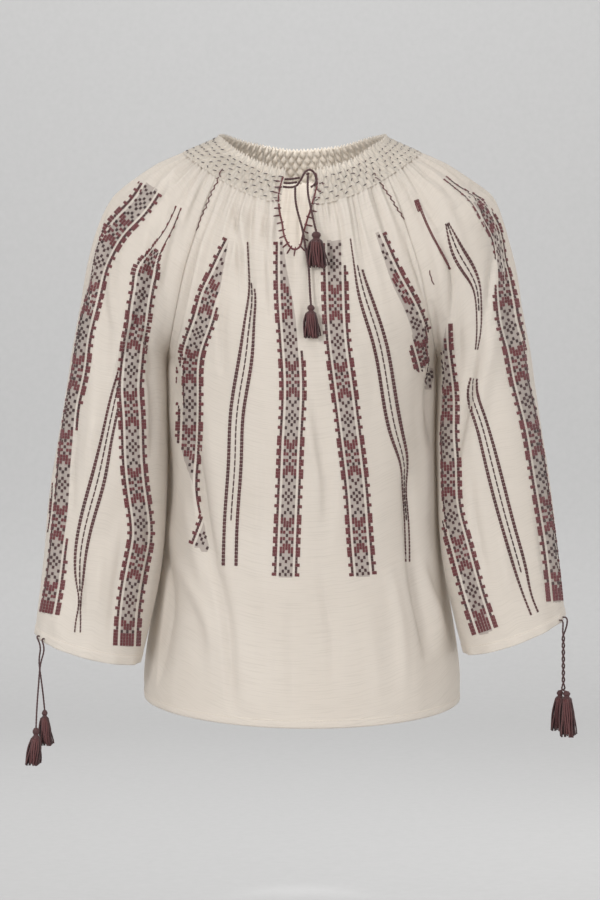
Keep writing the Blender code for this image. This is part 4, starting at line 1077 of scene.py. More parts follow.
TOUCHING_SHADE = 0.85  # 1 is the light tone of the thread and 0 the dark one
LONE_SHADE = 0.12
THREAD_WIDTH = 0.00132
THREADS_APART = 0.00064
CELL_FILL = 0.71  # how much of a row its threads fill
NARROW_ROW_PITCH = 0.0039
NARROW_FILL = 0.64
NARROW_WIDEN = 1.4
NARROW_TAIL = 0.045  # the last stretch of a narrow band has no dashes
DASH_LENGTH = 0.0044
DASH_WIDTH = 0.0016
# Below this share of its width a band is folded in and only its two sides show
FOLDED_SHARE = 0.45
FOLDED_INNER = 9.0  # millimetres from the middle that the fold hides


def lay_cell(threads, line, frame_at, middle_mm, shade, length, widen=1.0):
    """One stitched cell: two threads side by side."""
    _, lead, _, share, _ = frame_at
    narrowed = max(share, FOLDED_SHARE) * widen
    middle = middle_mm * 0.001 * share
    places = [off_on_cloth(line, frame_at, middle + turn * THREADS_APART * narrowed)
              for turn in (-1.0, 1.0)]
    stretch = float(np.linalg.norm(places[1] - places[0])) / (2.0 * THREADS_APART * narrowed)
    width = THREAD_WIDTH * narrowed * min(max(stretch, 0.8), 1.6)
    for place in places:
        lay_stitch(threads, trees[line["panel"]], place, lead, length, width, shade)


def sew_wide(threads, line, anchor, low_table, high_table):
    """Stitch the counted motif down one wide band."""
    zero = float(np.interp(anchor, line["down"], line["along"]))
    last = line["along"][-1]
    count = 0
    for row in range(-160, 160):
        place = zero - (row - ANCHOR_ROW) * ROW_PITCH
        if place < 0.0 or place > last:
            continue
        here = band_frame(line, place)
        low = limit(low_table, here[4])
        high = limit(high_table, here[4])
        is_end = line["panel"] != "front" and last - place < 4.0 * ROW_PITCH
        marks = "XXXXX" if is_end else MOTIF[row % len(MOTIF)]
        filled = [k for k, mark in enumerate(marks) if mark == "X"]
        cells = [(k - 2) * CELL_ACROSS for k in filled]
        shades = [TOUCHING_SHADE if {k - 1, k + 1} & set(filled) else LONE_SHADE for k in filled]
        cells += [-DOT_COLUMN, DOT_COLUMN]
        is_block = is_end or row % len(MOTIF) in BLOCK_ROWS
        shades += [0.7 if is_block else 0.2] * 2
        if is_block:
            cells += [-BLOCK_COLUMN, BLOCK_COLUMN]
            shades += [0.8, 0.8]
        for middle, shade in zip(cells, shades):
            is_folded_in = here[3] < FOLDED_SHARE and abs(middle) < FOLDED_INNER
            if low <= middle <= high and not is_folded_in:
                lay_cell(threads, line, here, middle, shade, CELL_FILL * ROW_PITCH)
                count += 1
    return count


def sew_narrow(threads, line, high_table):
    """Stitch a narrow band: two columns of square stitches with dashes between them."""
    last = line["along"][-1]
    count = 0
    for k in range(int(last / NARROW_ROW_PITCH)):
        here = band_frame(line, (k + 0.5) * NARROW_ROW_PITCH)
        for middle in (-NARROW_COLUMN, NARROW_COLUMN):
            if middle <= limit(high_table, here[4]):
                length = NARROW_FILL * NARROW_ROW_PITCH
                lay_cell(threads, line, here, middle, 0.35, length, NARROW_WIDEN)
                count += 1
    for k in range(int((last - NARROW_TAIL) / NARROW_DASH_PITCH)):
        here = band_frame(line, (k + 0.5) * NARROW_DASH_PITCH)
        if 0.0 <= limit(high_table, here[4]):
            lay_stitch(threads, trees[line["panel"]], here[0], here[1],
                       DASH_LENGTH, DASH_WIDTH, 0.15)
            count += 1
    return count


# Side strip that alone shows beside a fold: panel and line
SINGLE_STRIPS = [
    ("sleeve_left", [(416, 200), (425, 223), (438, 249), (449, 270)]),
]


def sew_single(threads, line):
    """One column of dots that starts with a few wider rows."""
    for k in range(int(line["along"][-1] / ROW_PITCH)):
        here = band_frame(line, (k + 0.5) * ROW_PITCH)
        cells = (-1.3, 1.3) if k < 4 else (1.3,)
        for middle in cells:
            lay_cell(threads, line, here, middle, 0.7, CELL_FILL * ROW_PITCH)


threads = {name: [] for name in ("front", "sleeve_right", "sleeve_left")}
wide_lines = []
for panel, anchor, line, low_table, high_table in WIDE_BANDS:
    laid = band_line(panel, line)
    wide_lines.append((laid, low_table, high_table))
    print("wide band on", panel, "cells", sew_wide(threads[panel], laid, anchor, low_table, high_table))
for panel, line, high_table in NARROW_BANDS:
    laid = band_line(panel, line)
    print("narrow band on", panel, "stitches", sew_narrow(threads[panel], laid, high_table))
for panel, line in SINGLE_STRIPS:
    sew_single(threads[panel], band_line(panel, line))

# %% [markdown]
# ## Slit and panels
#
# The cloth in the slit is left out of the front, and the points beside it are moved onto the
# outline, so its edge is smooth. The ground of a wide band is a value for each point of the
# cloth: how far it lies across from the band's middle, and how far the band shows there.

# %% Slit and cloth panels
# Slit, right round from the left lip to the right one: x, z
SLIT_OUTLINE = [
    (-0.0215, -0.020), (-0.0240, -0.048), (-0.0229, -0.061), (-0.0203, -0.0735),
    (-0.0181, -0.086), (-0.0149, -0.0937), (-0.0115, -0.0979), (-0.0064, -0.0995),
    (-0.0022, -0.0958), (0.0000, -0.0873), (0.0020, -0.0777), (0.0052, -0.0671),
    (0.0084, -0.0565), (0.0112, -0.0459), (0.0130, -0.0353), (0.0135, -0.020),
]
VOILE_THICK = 0.0005
NO_BAND = 99.0
BAND_REACH = 0.013  # metres from the band's line that its ground may lie
GROUND_HALF = 7.7  # half width of the ground in millimetres
GROUND_SPARE = 1.6  # how far the ground passes the last cell that shows
PICTURE_SPARE = 14.0  # picture dots round a band's line where cloth is looked at


def in_outline(points, outline):
    """Which points lie inside an outline, both as across and up."""
    inside = np.zeros(points.shape[:-1], dtype=bool)
    x = points[..., 0]
    z = points[..., 1]
    for k in range(len(outline)):
        x1, z1 = outline[k - 1]
        x2, z2 = outline[k]
        crosses = (z1 > z) != (z2 > z)
        rise = z2 - z1 if abs(z2 - z1) > 1e-12 else 1e-12
        inside ^= crosses & (x < (x2 - x1) * (z - z1) / rise + x1)
    return inside


slit = smooth_route(SLIT_OUTLINE, 0.002)


def fit_slit(form):
    """Which quads stay beside the slit; moves the points at its edge onto the outline."""
    points = form["points"]
    flat = points[..., [0, 2]]
    middle = 0.25 * (flat[:-1, :-1] + flat[1:, :-1] + flat[:-1, 1:] + flat[1:, 1:])
    keep = ~in_outline(middle, slit)
    kept_beside = np.zeros(points.shape[:2], dtype=bool)
    cut_beside = np.zeros(points.shape[:2], dtype=bool)
    for rows in (slice(0, -1), slice(1, None)):
        for columns in (slice(0, -1), slice(1, None)):
            kept_beside[rows, columns] |= keep
            cut_beside[rows, columns] |= ~keep
    for i, j in zip(*np.nonzero(kept_beside & cut_beside)):
        away = slit - flat[i, j]
        step = away[int(np.argmin(np.linalg.norm(away, axis=1)))]
        normal = form["normals"][i, j]
        drop = -(normal[0] * step[0] + normal[2] * step[1]) / min(normal[1], -0.3)
        points[i, j] += np.array([step[0], drop, step[1]])
    return keep


def paint_bands(mesh, name, points, normals):
    """Values for each point of the cloth that tell the material where the bands lie."""
    side = np.full(len(points), NO_BAND)
    low = np.full(len(points), -GROUND_HALF)
    high = np.full(len(points), GROUND_HALF)
    places = picture_of(points)
    for line, low_table, high_table in wide_lines:
        if line["panel"] != name:
            continue
        frames = [band_frame(line, step) for step in np.arange(0.0, line["along"][-1], 0.003)]
        spots = np.array([picture_frame(row[0], row[1]) for row in frames])
        is_near = ((places > spots[:, 0].min(axis=0) - PICTURE_SPARE)
                   & (places < spots[:, 0].max(axis=0) + PICTURE_SPARE))
        near = np.nonzero(is_near.all(axis=1) & (normals[:, 1] < -0.3))[0]
        away = np.linalg.norm(places[near, None, :] - spots[None, :, 0, :], axis=2)
        for k, vertex, distance in zip(np.argmin(away, axis=1), near, away.min(axis=1)):
            share, down = frames[k][3:5]
            off = places[vertex] - spots[k, 0]
            across = float(off @ spots[k, 1])
            is_beyond = (distance > BAND_REACH / PICTURE_SCALE
                         or np.linalg.norm(points[vertex] - frames[k][0]) > FACING_REACH)
            if is_beyond or share < FOLDED_SHARE or distance ** 2 - across ** 2 > 12.0:
                continue
            value = 1000.0 * PICTURE_SCALE * across / share
            if abs(value) < abs(side[vertex]):
                side[vertex] = value
                low[vertex] = max(-GROUND_HALF, limit(low_table, down) - GROUND_SPARE)
                high[vertex] = min(GROUND_HALF, limit(high_table, down) + GROUND_SPARE)
    store(mesh, "band_on", (side < NO_BAND).astype(float))
    store(mesh, "band_side", side)
    store(mesh, "band_low", low)
    store(mesh, "band_high", high)


def place_on_cloth(points):
    """How far across and along the cloth each point of a grid lies, in metres."""
    across = np.zeros(points.shape[:2])
    along = np.zeros(points.shape[:2])
    across[:, 1:] = np.cumsum(np.linalg.norm(np.diff(points, axis=1), axis=2), axis=1)
    across -= across[:, [points.shape[1] // 2]]
    along[1:] = np.cumsum(np.linalg.norm(np.diff(points, axis=0), axis=2), axis=0)
    return np.stack([across, along, np.zeros_like(across)], axis=-1)


def cloth_area(points):
    """Area of a grid of points."""
    one = np.cross(points[1:, :-1] - points[:-1, :-1], points[:-1, 1:] - points[:-1, :-1])
    return float(np.linalg.norm(one, axis=-1).sum())


def thicken(cloth):
    """Give a piece of cloth its thickness, inwards from its outer face."""
    shell = cloth.modifiers.new("thickness", "SOLIDIFY")
    shell.thickness = VOILE_THICK
    shell.offset = -1.0


panels = {}
for name, form in surfaces.items():
    place = place_on_cloth(form["points"])
    keep = fit_slit(form) if name == "front" else None
    flip = float(np.sum(np.cross(
        form["points"][1, 0] - form["points"][0, 0],
        form["points"][0, 1] - form["points"][0, 0],
    ) * form["normals"][0, 0])) < 0.0
    mesh, used = grid_mesh(name + "_cloth", form["points"], keep, flip)
    shown = form["points"].reshape(-1, 3)[used]
    store(mesh, "cloth_place", place.reshape(-1, 3)[used], "FLOAT_VECTOR")
    has_bands = name != "back"
    if has_bands:
        paint_bands(mesh, name, shown, form["normals"].reshape(-1, 3)[used])
    panel = new_object(name + "_cloth", mesh, voile if has_bands else plain_voile)
    thicken(panel)
    panels[name] = panel
    span = [round(float(v), 3) for v in (place[-1, -1, 0] - place[-1, 0, 0], place[-1, 60, 1])]
    print(panel.name, "area", round(cloth_area(form["points"]), 4), "hem and length", span)

# %% [markdown]
# ## Threads as real thread
#
# One thread is a short bowed tube. A node tree puts one on every stitch, turned and sized by the
# values kept there, and the result is kept as plain mesh, because a stitched piece is fixed.

# %% Embroidery thread
THREAD_SIDES = 5
THREAD_FLATNESS = 0.62  # height of a thread for its width
STRAND_SCALE = 2600.0  # fine enough for the strands inside a thread


def thread_material(name, light, dark, shine, spots):
    """Stranded thread: two tones along and between stitches, with a faint silky sheen."""
    made, tree, shader = new_material(name, shine, sheen=0.25)
    place = add_node(tree, "ShaderNodeTexCoord").outputs["Object"]
    drift = soft_noise(tree, place, spots, 3.0)
    strand = soft_noise(tree, place, STRAND_SCALE, 1.0)
    shade = attribute(tree, "thread_shade").outputs["Fac"]
    spread = maths(tree, "MULTIPLY", maths(tree, "SUBTRACT", drift, 0.5), 0.7)
    share = held(tree, maths(tree, "ADD", shade, spread), 1.0)
    colour = mixed(tree, share, linear(dark), linear(light))
    tree.links.new(colour, shader.inputs["Base Color"])
    bump = add_node(tree, "ShaderNodeBump", None, {"Strength": 0.6, "Distance": 0.0002},
                    {"Height": strand})
    tree.links.new(bump.outputs[0], shader.inputs["Normal"])
    return made


# Stranded cotton of the bands and of the slit's edge, burgundy that reads black when it is sunk
burgundy = thread_material("stranded embroidery thread", "#6a2d31", "#33201f", 0.62, 60.0)
# Cream sewing cotton of the hems, close to the cloth
seam_thread = thread_material("cotton sewing thread", "#e9e1d6", "#cfc3b4", 0.75, 40.0)
# The darker strand that holds the pleats of the neck
dark_thread = thread_material("smocking thread", "#463035", "#241b1e", 0.62, 60.0)


def thread_tree(name, look, bow):
    """Node tree that puts one bowed thread on every point."""
    tree = bpy.data.node_groups.new(name, "GeometryNodeTree")
    face = tree.interface
    face.new_socket("Points", in_out="INPUT", socket_type="NodeSocketGeometry")
    height = face.new_socket("Bow", in_out="INPUT", socket_type="NodeSocketFloat")
    face.new_socket("Threads", in_out="OUTPUT", socket_type="NodeSocketGeometry")
    height.default_value = bow
    entry = add_node(tree, "NodeGroupInput")
    middle = add_node(tree, "ShaderNodeCombineXYZ", None, None, {"Z": entry.outputs["Bow"]})
    line = add_node(tree, "GeometryNodeCurveQuadraticBezier", None,
                    {"Resolution": 3, "Start": (0.0, -0.5, 0.0), "End": (0.0, 0.5, 0.0)},
                    {"Middle": middle.outputs[0]})
    ring = add_node(tree, "GeometryNodeCurvePrimitiveCircle", None,
                    {"Radius": 0.5, "Resolution": THREAD_SIDES})
    tube = add_node(tree, "GeometryNodeCurveToMesh", None, {"Fill Caps": True},
                    {"Curve": line.outputs[0], "Profile Curve": ring.outputs[0]})
    turn = add_node(tree, "GeometryNodeInputNamedAttribute", {"data_type": "FLOAT_VECTOR"},
                    {"Name": "thread_turn"})
    size = add_node(tree, "GeometryNodeInputNamedAttribute", {"data_type": "FLOAT_VECTOR"},
                    {"Name": "thread_size"})
    spin = add_node(tree, "FunctionNodeEulerToRotation", None, None, {"Euler": turn.outputs[0]})
    put = add_node(tree, "GeometryNodeInstanceOnPoints", None, None, {
        "Points": entry.outputs["Points"], "Instance": tube.outputs[0],
        "Rotation": spin.outputs[0], "Scale": size.outputs[0],
    })
    real = add_node(tree, "GeometryNodeRealizeInstances", None, None, {0: put.outputs[0]})
    soft = add_node(tree, "GeometryNodeSetShadeSmooth", None, None, {0: real.outputs[0]})
    dressed = add_node(tree, "GeometryNodeSetMaterial", None, {"Material": look},
                       {0: soft.outputs[0]})
    add_node(tree, "NodeGroupOutput", None, None, {0: dressed.outputs[0]})
    return tree, height.identifier


def sew(name, threads, look, bow=0.55):
    """One mesh of all the threads in a list."""
    carrier = bpy.data.meshes.new(name + "_points")
    carrier.from_pydata([tuple(row[0]) for row in threads], [], [])
    turns = []
    sizes = []
    for _, lead, normal, length, width, _ in threads:
        side = np.cross(lead, normal)
        turn = Matrix(np.stack([side, lead, normal], axis=1).tolist()).to_euler()
        turns.append(tuple(turn))
        sizes.append((width, length, width * THREAD_FLATNESS))
    store(carrier, "thread_turn", turns, "FLOAT_VECTOR")
    store(carrier, "thread_size", sizes, "FLOAT_VECTOR")
    store(carrier, "thread_shade", [row[5] for row in threads])
    points = new_object(name + "_points", carrier, None)
    tree, bow_socket = thread_tree(name, look, bow)
    sewn = points.modifiers.new("threads", "NODES")
    sewn.node_group = tree
    sewn[bow_socket] = bow
    mesh = bpy.data.meshes.new_from_object(points.evaluated_get(bpy.context.evaluated_depsgraph_get()))
    bpy.data.objects.remove(points)
    made = new_object(name, mesh, None)
    print(name, "threads", len(threads), "faces", len(mesh.polygons))
    return made


embroidery = {name: sew(name + "_embroidery", rows, burgundy) for name, rows in threads.items()}

# %% [markdown]
# ## Smocking
#
# The neck is pleated finely and held by five rows of stitches. In every row each pleat is caught
# to one neighbour, and in the next row to the other, which opens the small lozenges. The pleat
# count follows the picture; each pleat sways between the rows it is caught in.

# %% Smocked band
NECK_PLEATS = 138
PLEAT_SWAY = 0.27
PLEAT_RAISE = 0.0030
STITCH_ROWS = 5
LIPS_TOP = (-0.0185, 0.0135)  # ends of the band on each side of the slit, across
LIPS_LOW = (-0.0238, 0.0100)
TOP_FRILL = 0.05
FRONT_FRILL = 0.12
SMOCKING_LIFT = 0.0019  # from the plain band to the thread that lies over two pleats
SMOCKING_THREAD = 0.0012
MISSED_STITCHES = 0.08  # share of the stitches that sink out of sight


def band_point(level, f):
    """Point and outward direction on the plain band, level from its top and f from lip to lip."""
    clear = np.clip(level, 0.0, 1.0)
    half_width = NECK_HALF_WIDTH * (1.0 - clear) + YOKE_HALF_WIDTH * clear
    left = LIPS_TOP[0] * (1.0 - clear) + LIPS_LOW[0] * clear
    right = LIPS_TOP[1] * (1.0 - clear) + LIPS_LOW[1] * clear
    first = np.arcsin(right / half_width)
    last = 2.0 * math.pi + np.arcsin(left / half_width)
    angle = first + (last - first) * f
    shift = level[..., None] if np.ndim(level) else level
    place = neck_ring(angle) * (1.0 - shift) + yoke_ring(angle) * shift
    return place, yoke_normal(angle)


def smock_height(level, f):
    """Height of the pleats, which sway towards and from each other between the rows."""
    u = f * NECK_PLEATS
    sway = PLEAT_SWAY * np.cos(math.pi * u) * np.cos(math.pi * (level * STITCH_ROWS - 0.5))
    wave = np.cos(math.pi * (u - sway)) ** 2
    swell = 0.75 + 0.25 * np.abs(np.sin(math.pi * (level * STITCH_ROWS - 0.5)))
    fade = np.clip((1.06 - level) / 0.10, 0.3, 1.0)
    return PLEAT_RAISE * wave * swell * fade


levels = np.linspace(-TOP_FRILL, 1.03, 30)[:, None]
shares = np.linspace(0.0, 1.0, 4 * NECK_PLEATS + 1)[None, :]
level_grid, share_grid = np.broadcast_arrays(levels, shares)
towards_front = np.clip(1.6 * np.cos(2.0 * math.pi * share_grid), 0.0, 1.0)
level_grid = level_grid - FRONT_FRILL * towards_front * np.clip(1.0 - level_grid / 0.35, 0.0, 1.0)
base, outward = band_point(level_grid, share_grid)
uneven = 0.0006 * np.sin(9.0 * share_grid * 2.0 * math.pi) * (1.0 - level_grid)
lifted = smock_height(level_grid, share_grid) + uneven * np.clip(1.0 - level_grid, 0.0, 1.0)
rim = np.clip(-level_grid / 0.12, 0.0, 1.2)
smock_points = base + outward * (lifted - 0.0002 + 0.0022 * rim)[..., None]
smock_points[0] += 0.0016 * np.array([0.0, 0.0, 1.0]) * np.cos(
    math.pi * shares[0] * NECK_PLEATS)[:, None] ** 2
smock_form = {"points": smock_points, "normals": outward}
toward = np.cross(smock_points[1, 0] - smock_points[0, 0], smock_points[0, 1] - smock_points[0, 0])
smock_mesh, _ = grid_mesh("neck_smocked_cloth", smock_points, None, float(toward @ outward[0, 0]) < 0.0)
store(smock_mesh, "cloth_place", place_on_cloth(smock_points).reshape(-1, 3), "FLOAT_VECTOR")
neck_cloth = new_object("neck_smocked_cloth", smock_mesh, smocked)
thicken(neck_cloth)
trees["neck"] = tree_of(["neck"], {"neck": smock_form})
print("smocked band: pleats", NECK_PLEATS, "area", round(cloth_area(smock_points), 4))

dashes = []
chance = np.random.default_rng(11)
for row in range(STITCH_ROWS):
    level = (row + 0.5) / STITCH_ROWS
    for k in range(row % 2, NECK_PLEATS - 1, 2):
        f = (k + 1.0) / NECK_PLEATS
        ends = [band_point(np.array(level), np.array(f + turn * 0.25 / NECK_PLEATS))
                for turn in (-1.0, 1.0)]
        lead = ends[1][0] - ends[0][0]
        lead = lead / np.linalg.norm(lead)
        normal = ends[0][1]
        lead = lead - normal * float(lead @ normal)
        lead = lead / np.linalg.norm(lead)
        tilt = chance.normal(0.25, 0.35)
        lead = lead * math.cos(tilt) + np.cross(normal, lead) * math.sin(tilt)
        middle = 0.5 * (ends[0][0] + ends[1][0]) + normal * SMOCKING_LIFT
        middle = middle + np.cross(normal, lead) * chance.normal(0.0, 0.0006)
        length = chance.uniform(0.0020, 0.0032)
        if chance.random() > MISSED_STITCHES:
            dashes.append((middle, lead, normal, length, SMOCKING_THREAD, chance.uniform(0.1, 0.7)))
smocking_stitches = sew("smocking_stitches", dashes, dark_thread, 0.9)

# %% [markdown]
# ## Edges and seams
#
# The slit is bound with buttonhole stitch: a line of thread on the edge and a tooth outwards
# about every 7 mm. The raglan seams are joined with the same thread in small slanting stitches near
# the neck. The hem and the cuffs are turned up and sewn with cream thread.

# %% Slit binding, raglan stitches and hems
SLIT_EDGE = [
    (283.5, 178), (281, 186), (279.5, 200), (280.5, 212), (283, 224), (285, 236), (288, 243),
    (291, 247), (296, 248.5), (300, 245), (302, 237), (304, 228), (307, 218), (310, 208),
    (313, 198), (316, 188), (316.5, 180), (315, 174),
]
# Buttonhole teeth: foot x, y and tip x, y in the picture
SLIT_TEETH = [
    (282, 182, 276, 181), (281, 187.5, 275, 187), (280, 193.5, 274, 193), (279.5, 200.5, 273.5, 200.5),
    (280, 208, 274, 208.5), (281, 215, 275, 216), (282.5, 222.5, 276.5, 223.5), (284, 229.5, 278, 231),
    (285, 236, 279, 238), (288, 243, 283, 247), (291, 247, 287.5, 252.5), (295.5, 248.5, 294, 255),
    (300, 245.5, 304, 250), (302, 238, 308, 240.5), (304, 231, 310, 233), (305.5, 224.5, 311.5, 226),
    (307.5, 217, 313.5, 218.5), (309.5, 210, 315.5, 211.5), (311.5, 203.5, 317.5, 205),
    (313, 197.5, 319, 198.5), (315, 191, 321, 191.5), (316.2, 184, 322.5, 184),
]
# Raglan seam stitches in the picture: swing to each side, then the line from the neck down
RAGLAN_LINES = [
    (0.8, [(221, 170), (218, 180), (213, 190), (207, 205), (200, 220), (197, 230)]),
    (0.8, [(374, 175), (380, 182), (385, 190), (392, 200), (396, 207), (400, 213), (404, 219)]),
    (0.3, [(429.5, 271), (431, 277), (433.5, 284)]),
]
EDGE_THREAD = 0.00105
TOOTH_LONGEST = 0.0085
TOOTH_WIDTH = 0.0019
RAGLAN_LONGEST = 0.0062
RAGLAN_WIDTH = 0.0013


def tube_faces(count, sides):
    """Faces of a closed tube of rings, with its two ends."""
    faces = []
    for k in range(count - 1):
        for j in range(sides):
            i = (j + 1) % sides
            faces.append((k * sides + j, k * sides + i, (k + 1) * sides + i, (k + 1) * sides + j))
    faces.append(tuple(range(sides))[::-1])
    faces.append(tuple((count - 1) * sides + j for j in range(sides)))
    return faces


def tube_mesh(points, radii, sides, lobes, depth, pitch):
    """Closed tube along points, with lobes that wind once round in each pitch."""
    points = np.asarray(points, float)
    lead = np.gradient(points, axis=0)
    lead /= np.linalg.norm(lead, axis=1, keepdims=True)
    side = np.cross(lead[0], np.array([0.31, 0.95, 0.07]))
    side /= np.linalg.norm(side)
    along = walked(points)
    turn = np.linspace(0.0, 2.0 * math.pi, sides, endpoint=False)
    rings = []
    for k in range(len(points)):
        side = side - lead[k] * float(side @ lead[k])
        side /= np.linalg.norm(side)
        up = np.cross(lead[k], side)
        wave = 1.0 + depth * np.cos(lobes * turn - 2.0 * math.pi * along[k] / pitch)
        reach = radii[k] * wave
        rings.append(points[k] + np.outer(np.cos(turn) * reach, side) + np.outer(np.sin(turn) * reach, up))
    return np.concatenate(rings), tube_faces(len(points), sides)


def join_tubes(name, tubes, look, shades):
    """One object of several tubes, each with its shade between dark and light."""
    spots = []
    faces = []
    tones = []
    start = 0
    for k, (points, quads) in enumerate(tubes):
        spots.append(points)
        faces += [tuple(v + start for v in quad) for quad in quads]
        tones += [shades[k]] * len(points)
        start += len(points)
    mesh = bpy.data.meshes.new(name)
    mesh.from_pydata(np.concatenate(spots).tolist(), [], faces)
    mesh.shade_smooth()
    store(mesh, "thread_shade", tones)
    return new_object(name, mesh, look)


trees["seen"] = tree_of(["front", "neck"], {"front": surfaces["front"], "neck": smock_form})
trees["shoulders"] = tree_of(
    ["front", "sleeve_right", "sleeve_left", "neck"], {**surfaces, "neck": smock_form})

edge_points = []
for spot in smooth_route(SLIT_EDGE, 2.0):
    inner = np.array([296.0, 205.0])
    out = (spot - inner) / np.linalg.norm(spot - inner)
    place, normal = nearest(trees["seen"], seen_at(trees["seen"], spot + 0.9 * out))
    edge_points.append(place + normal * 0.0003)
edge_points = smooth_route(edge_points, 0.0012)
slit_line = join_tubes("slit_edge_thread", [
    tube_mesh(edge_points, np.full(len(edge_points), EDGE_THREAD), 7, 2, 0.2, 0.0024),
], burgundy, [0.8])

teeth = []
for foot_x, foot_y, tip_x, tip_y in SLIT_TEETH:
    foot = seen_at(trees["seen"], (foot_x, foot_y))
    tip = seen_at(trees["seen"], (tip_x, tip_y))
    lead = tip - foot
    length = min(float(np.linalg.norm(lead)), TOOTH_LONGEST)
    lay_stitch(teeth, trees["seen"], 0.5 * (foot + tip), lead / np.linalg.norm(lead), length,
               TOOTH_WIDTH, 0.5)
for reach, line in RAGLAN_LINES:
    route = smooth_route(line, 3.4)
    for k in range(len(route) - 1):
        swing = reach if k % 2 else -reach
        start = seen_at(trees["shoulders"], (route[k][0] - swing, route[k][1]))
        end = seen_at(trees["shoulders"], (route[k + 1][0] + swing, route[k + 1][1]))
        lead = end - start
        length = min(float(np.linalg.norm(lead)), RAGLAN_LONGEST)
        lay_stitch(teeth, trees["shoulders"], 0.5 * (start + end), lead / np.linalg.norm(lead),
                   length, RAGLAN_WIDTH, 0.45)
edge_stitches = sew("edge_stitches", teeth, burgundy)

HEM_STITCH_PITCH = 0.0036
HEM_STITCH_LENGTH = 0.0021
HEM_THREAD = 0.0006
hem_threads = []
for name, form in surfaces.items():
    depth = CASING_DEPTH if name in SLEEVE_SIDES else HEM_DEPTH
    row_length = CUFF_STATION if name in SLEEVE_SIDES else HEM_STATION
    station = LAST - depth / row_length
    row = int(round(station / LAST * (len(form["stations"]) - 1)))
    line = form["points"][row]
    normals = form["normals"][row]
    at = walked(line)
    for place in np.arange(0.003, at[-1] - 0.003, HEM_STITCH_PITCH):
        point = np.array([np.interp(place, at, line[:, k]) for k in range(3)])
        ahead = np.array([np.interp(place + 0.001, at, line[:, k]) for k in range(3)]) - point
        normal = np.array([np.interp(place, at, normals[:, k]) for k in range(3)])
        normal /= np.linalg.norm(normal)
        lead = ahead / np.linalg.norm(ahead)
        hem_threads.append((point + normal * 0.0002, lead, normal, HEM_STITCH_LENGTH, HEM_THREAD, 0.4))
hem_stitches = sew("hem_stitches", hem_threads, seam_thread)

# %% [markdown]
# ## Cords
#
# The tie and the cuff cords are twisted from two yarns. A lobed tube whose lobes wind along the
# route shows that twist. The routes are the ones of the solids, chosen from the picture.

# %% Cords
TIE_DIAMETER = 0.0020
CUFF_CORD_DIAMETER = 0.0015
CASING_EXIT = 12.78
CAP_GAP = 0.0007
CORD_PITCH = 0.0034
TIE_ROUTES = {
    "tie_lacing": [
        (-0.0200, -0.0921, -0.0322), (-0.0130, -0.0960, -0.0332), (-0.0065, -0.0972, -0.0318),
        (-0.0024, -0.0955, -0.0268), (0.0008, -0.0925, -0.0210), (0.0042, -0.0890, -0.0155),
        (0.0085, -0.0872, -0.0136), (0.0124, -0.0868, -0.0162), (0.0148, -0.0887, -0.0222),
        (0.0148, -0.0930, -0.0280), (0.0095, -0.0955, -0.0330),
    ],
    "tie_strand_upper": [
        (-0.0186, -0.0853, -0.0235), (-0.0110, -0.0895, -0.0236), (-0.0025, -0.0922, -0.0225),
    ],
    "tie_strand_middle": [
        (-0.0193, -0.0886, -0.0278), (-0.0130, -0.0925, -0.0284), (-0.0053, -0.0950, -0.0275),
    ],
    "tie_end_long": [
        (-0.0072, -0.0973, -0.0334), (-0.0072, -0.1050, -0.0435), (-0.0055, -0.1135, -0.0573),
        (-0.0022, -0.1180, -0.0700), (0.0010, -0.1205, -0.0827), (0.0031, -0.1228, -0.0964),
        (0.0062, -0.1258, -0.1144), (0.0082, -0.1312, -0.1441), (0.0094, -0.1350, -0.1612),
    ],
    "tie_end_short": [
        (0.0064, -0.0898, -0.0204), (0.0060, -0.0970, -0.0300), (0.0066, -0.1060, -0.0420),
        (0.0088, -0.1142, -0.0541), (0.0116, -0.1196, -0.0679), (0.0150, -0.1256, -0.0832),
    ],
}
KNOT_PLACE = (0.0062, -0.0895, -0.0181)
KNOT_HALF_SIZE = (0.0018, 0.0018, 0.0021)
KNOT_CORD_RADIUS = 0.0009
KNOT_TILTS = (0.2, 1.2, -0.7)
CUFF_ROUTES = {
    "cuff_cord_right_a": ("sleeve_right", -0.165, [
        (0.0, -0.0030, -0.0060), (0.0005, -0.0036, -0.0220), (0.0018, -0.0036, -0.0420),
        (0.0044, -0.0036, -0.0620), (0.0062, -0.0036, -0.0800)]),
    "cuff_cord_right_b": ("sleeve_right", -0.215, [
        (-0.0006, -0.0040, -0.0060), (-0.0024, -0.0052, -0.0220), (-0.0052, -0.0060, -0.0440),
        (-0.0070, -0.0066, -0.0690), (-0.0082, -0.0070, -0.0955)]),
}
TWISTED_CORDS = {
    "cuff_cord_left_a": ("sleeve_left", -0.190, 0.0),
    "cuff_cord_left_b": ("sleeve_left", -0.140, 1.0),
}
TWIST_PLACE = -0.165
TWIST_DROP = 0.018
TWIST_LENGTH = 0.060
TWIST_TURNS = 4.08
TWIST_RADIUS = 0.00115
TWIST_OUT = (-0.0004, -0.0030)
LEFT_TASSEL_SPREAD = 0.0052


def casing_exit(name, place):
    """Where a cord leaves the casing, and the cloth's outward direction there."""
    stations = np.array([CASING_EXIT - 0.1, CASING_EXIT, CASING_EXIT + 0.1])
    across = np.array([place - 0.03, place, place + 0.03])
    grid, normals = plain_panel(name, stations, across)
    pucker = float(cuff_puckers_at(stations[1:2], across)[0, 1])
    return grid[1, 1] + normals[1, 1] * (pucker + 0.5 * (CASING_WALL - CLOTH)), normals[1, 1]


def cuff_route(name, place, offsets):
    """Route of one hanging cuff cord, as steps from where it leaves the casing."""
    point, normal = casing_exit(name, place)
    start = point + normal * CAP_GAP
    return [start, point + normal * 4.0 * CAP_GAP] + [start + np.array(row) for row in offsets]


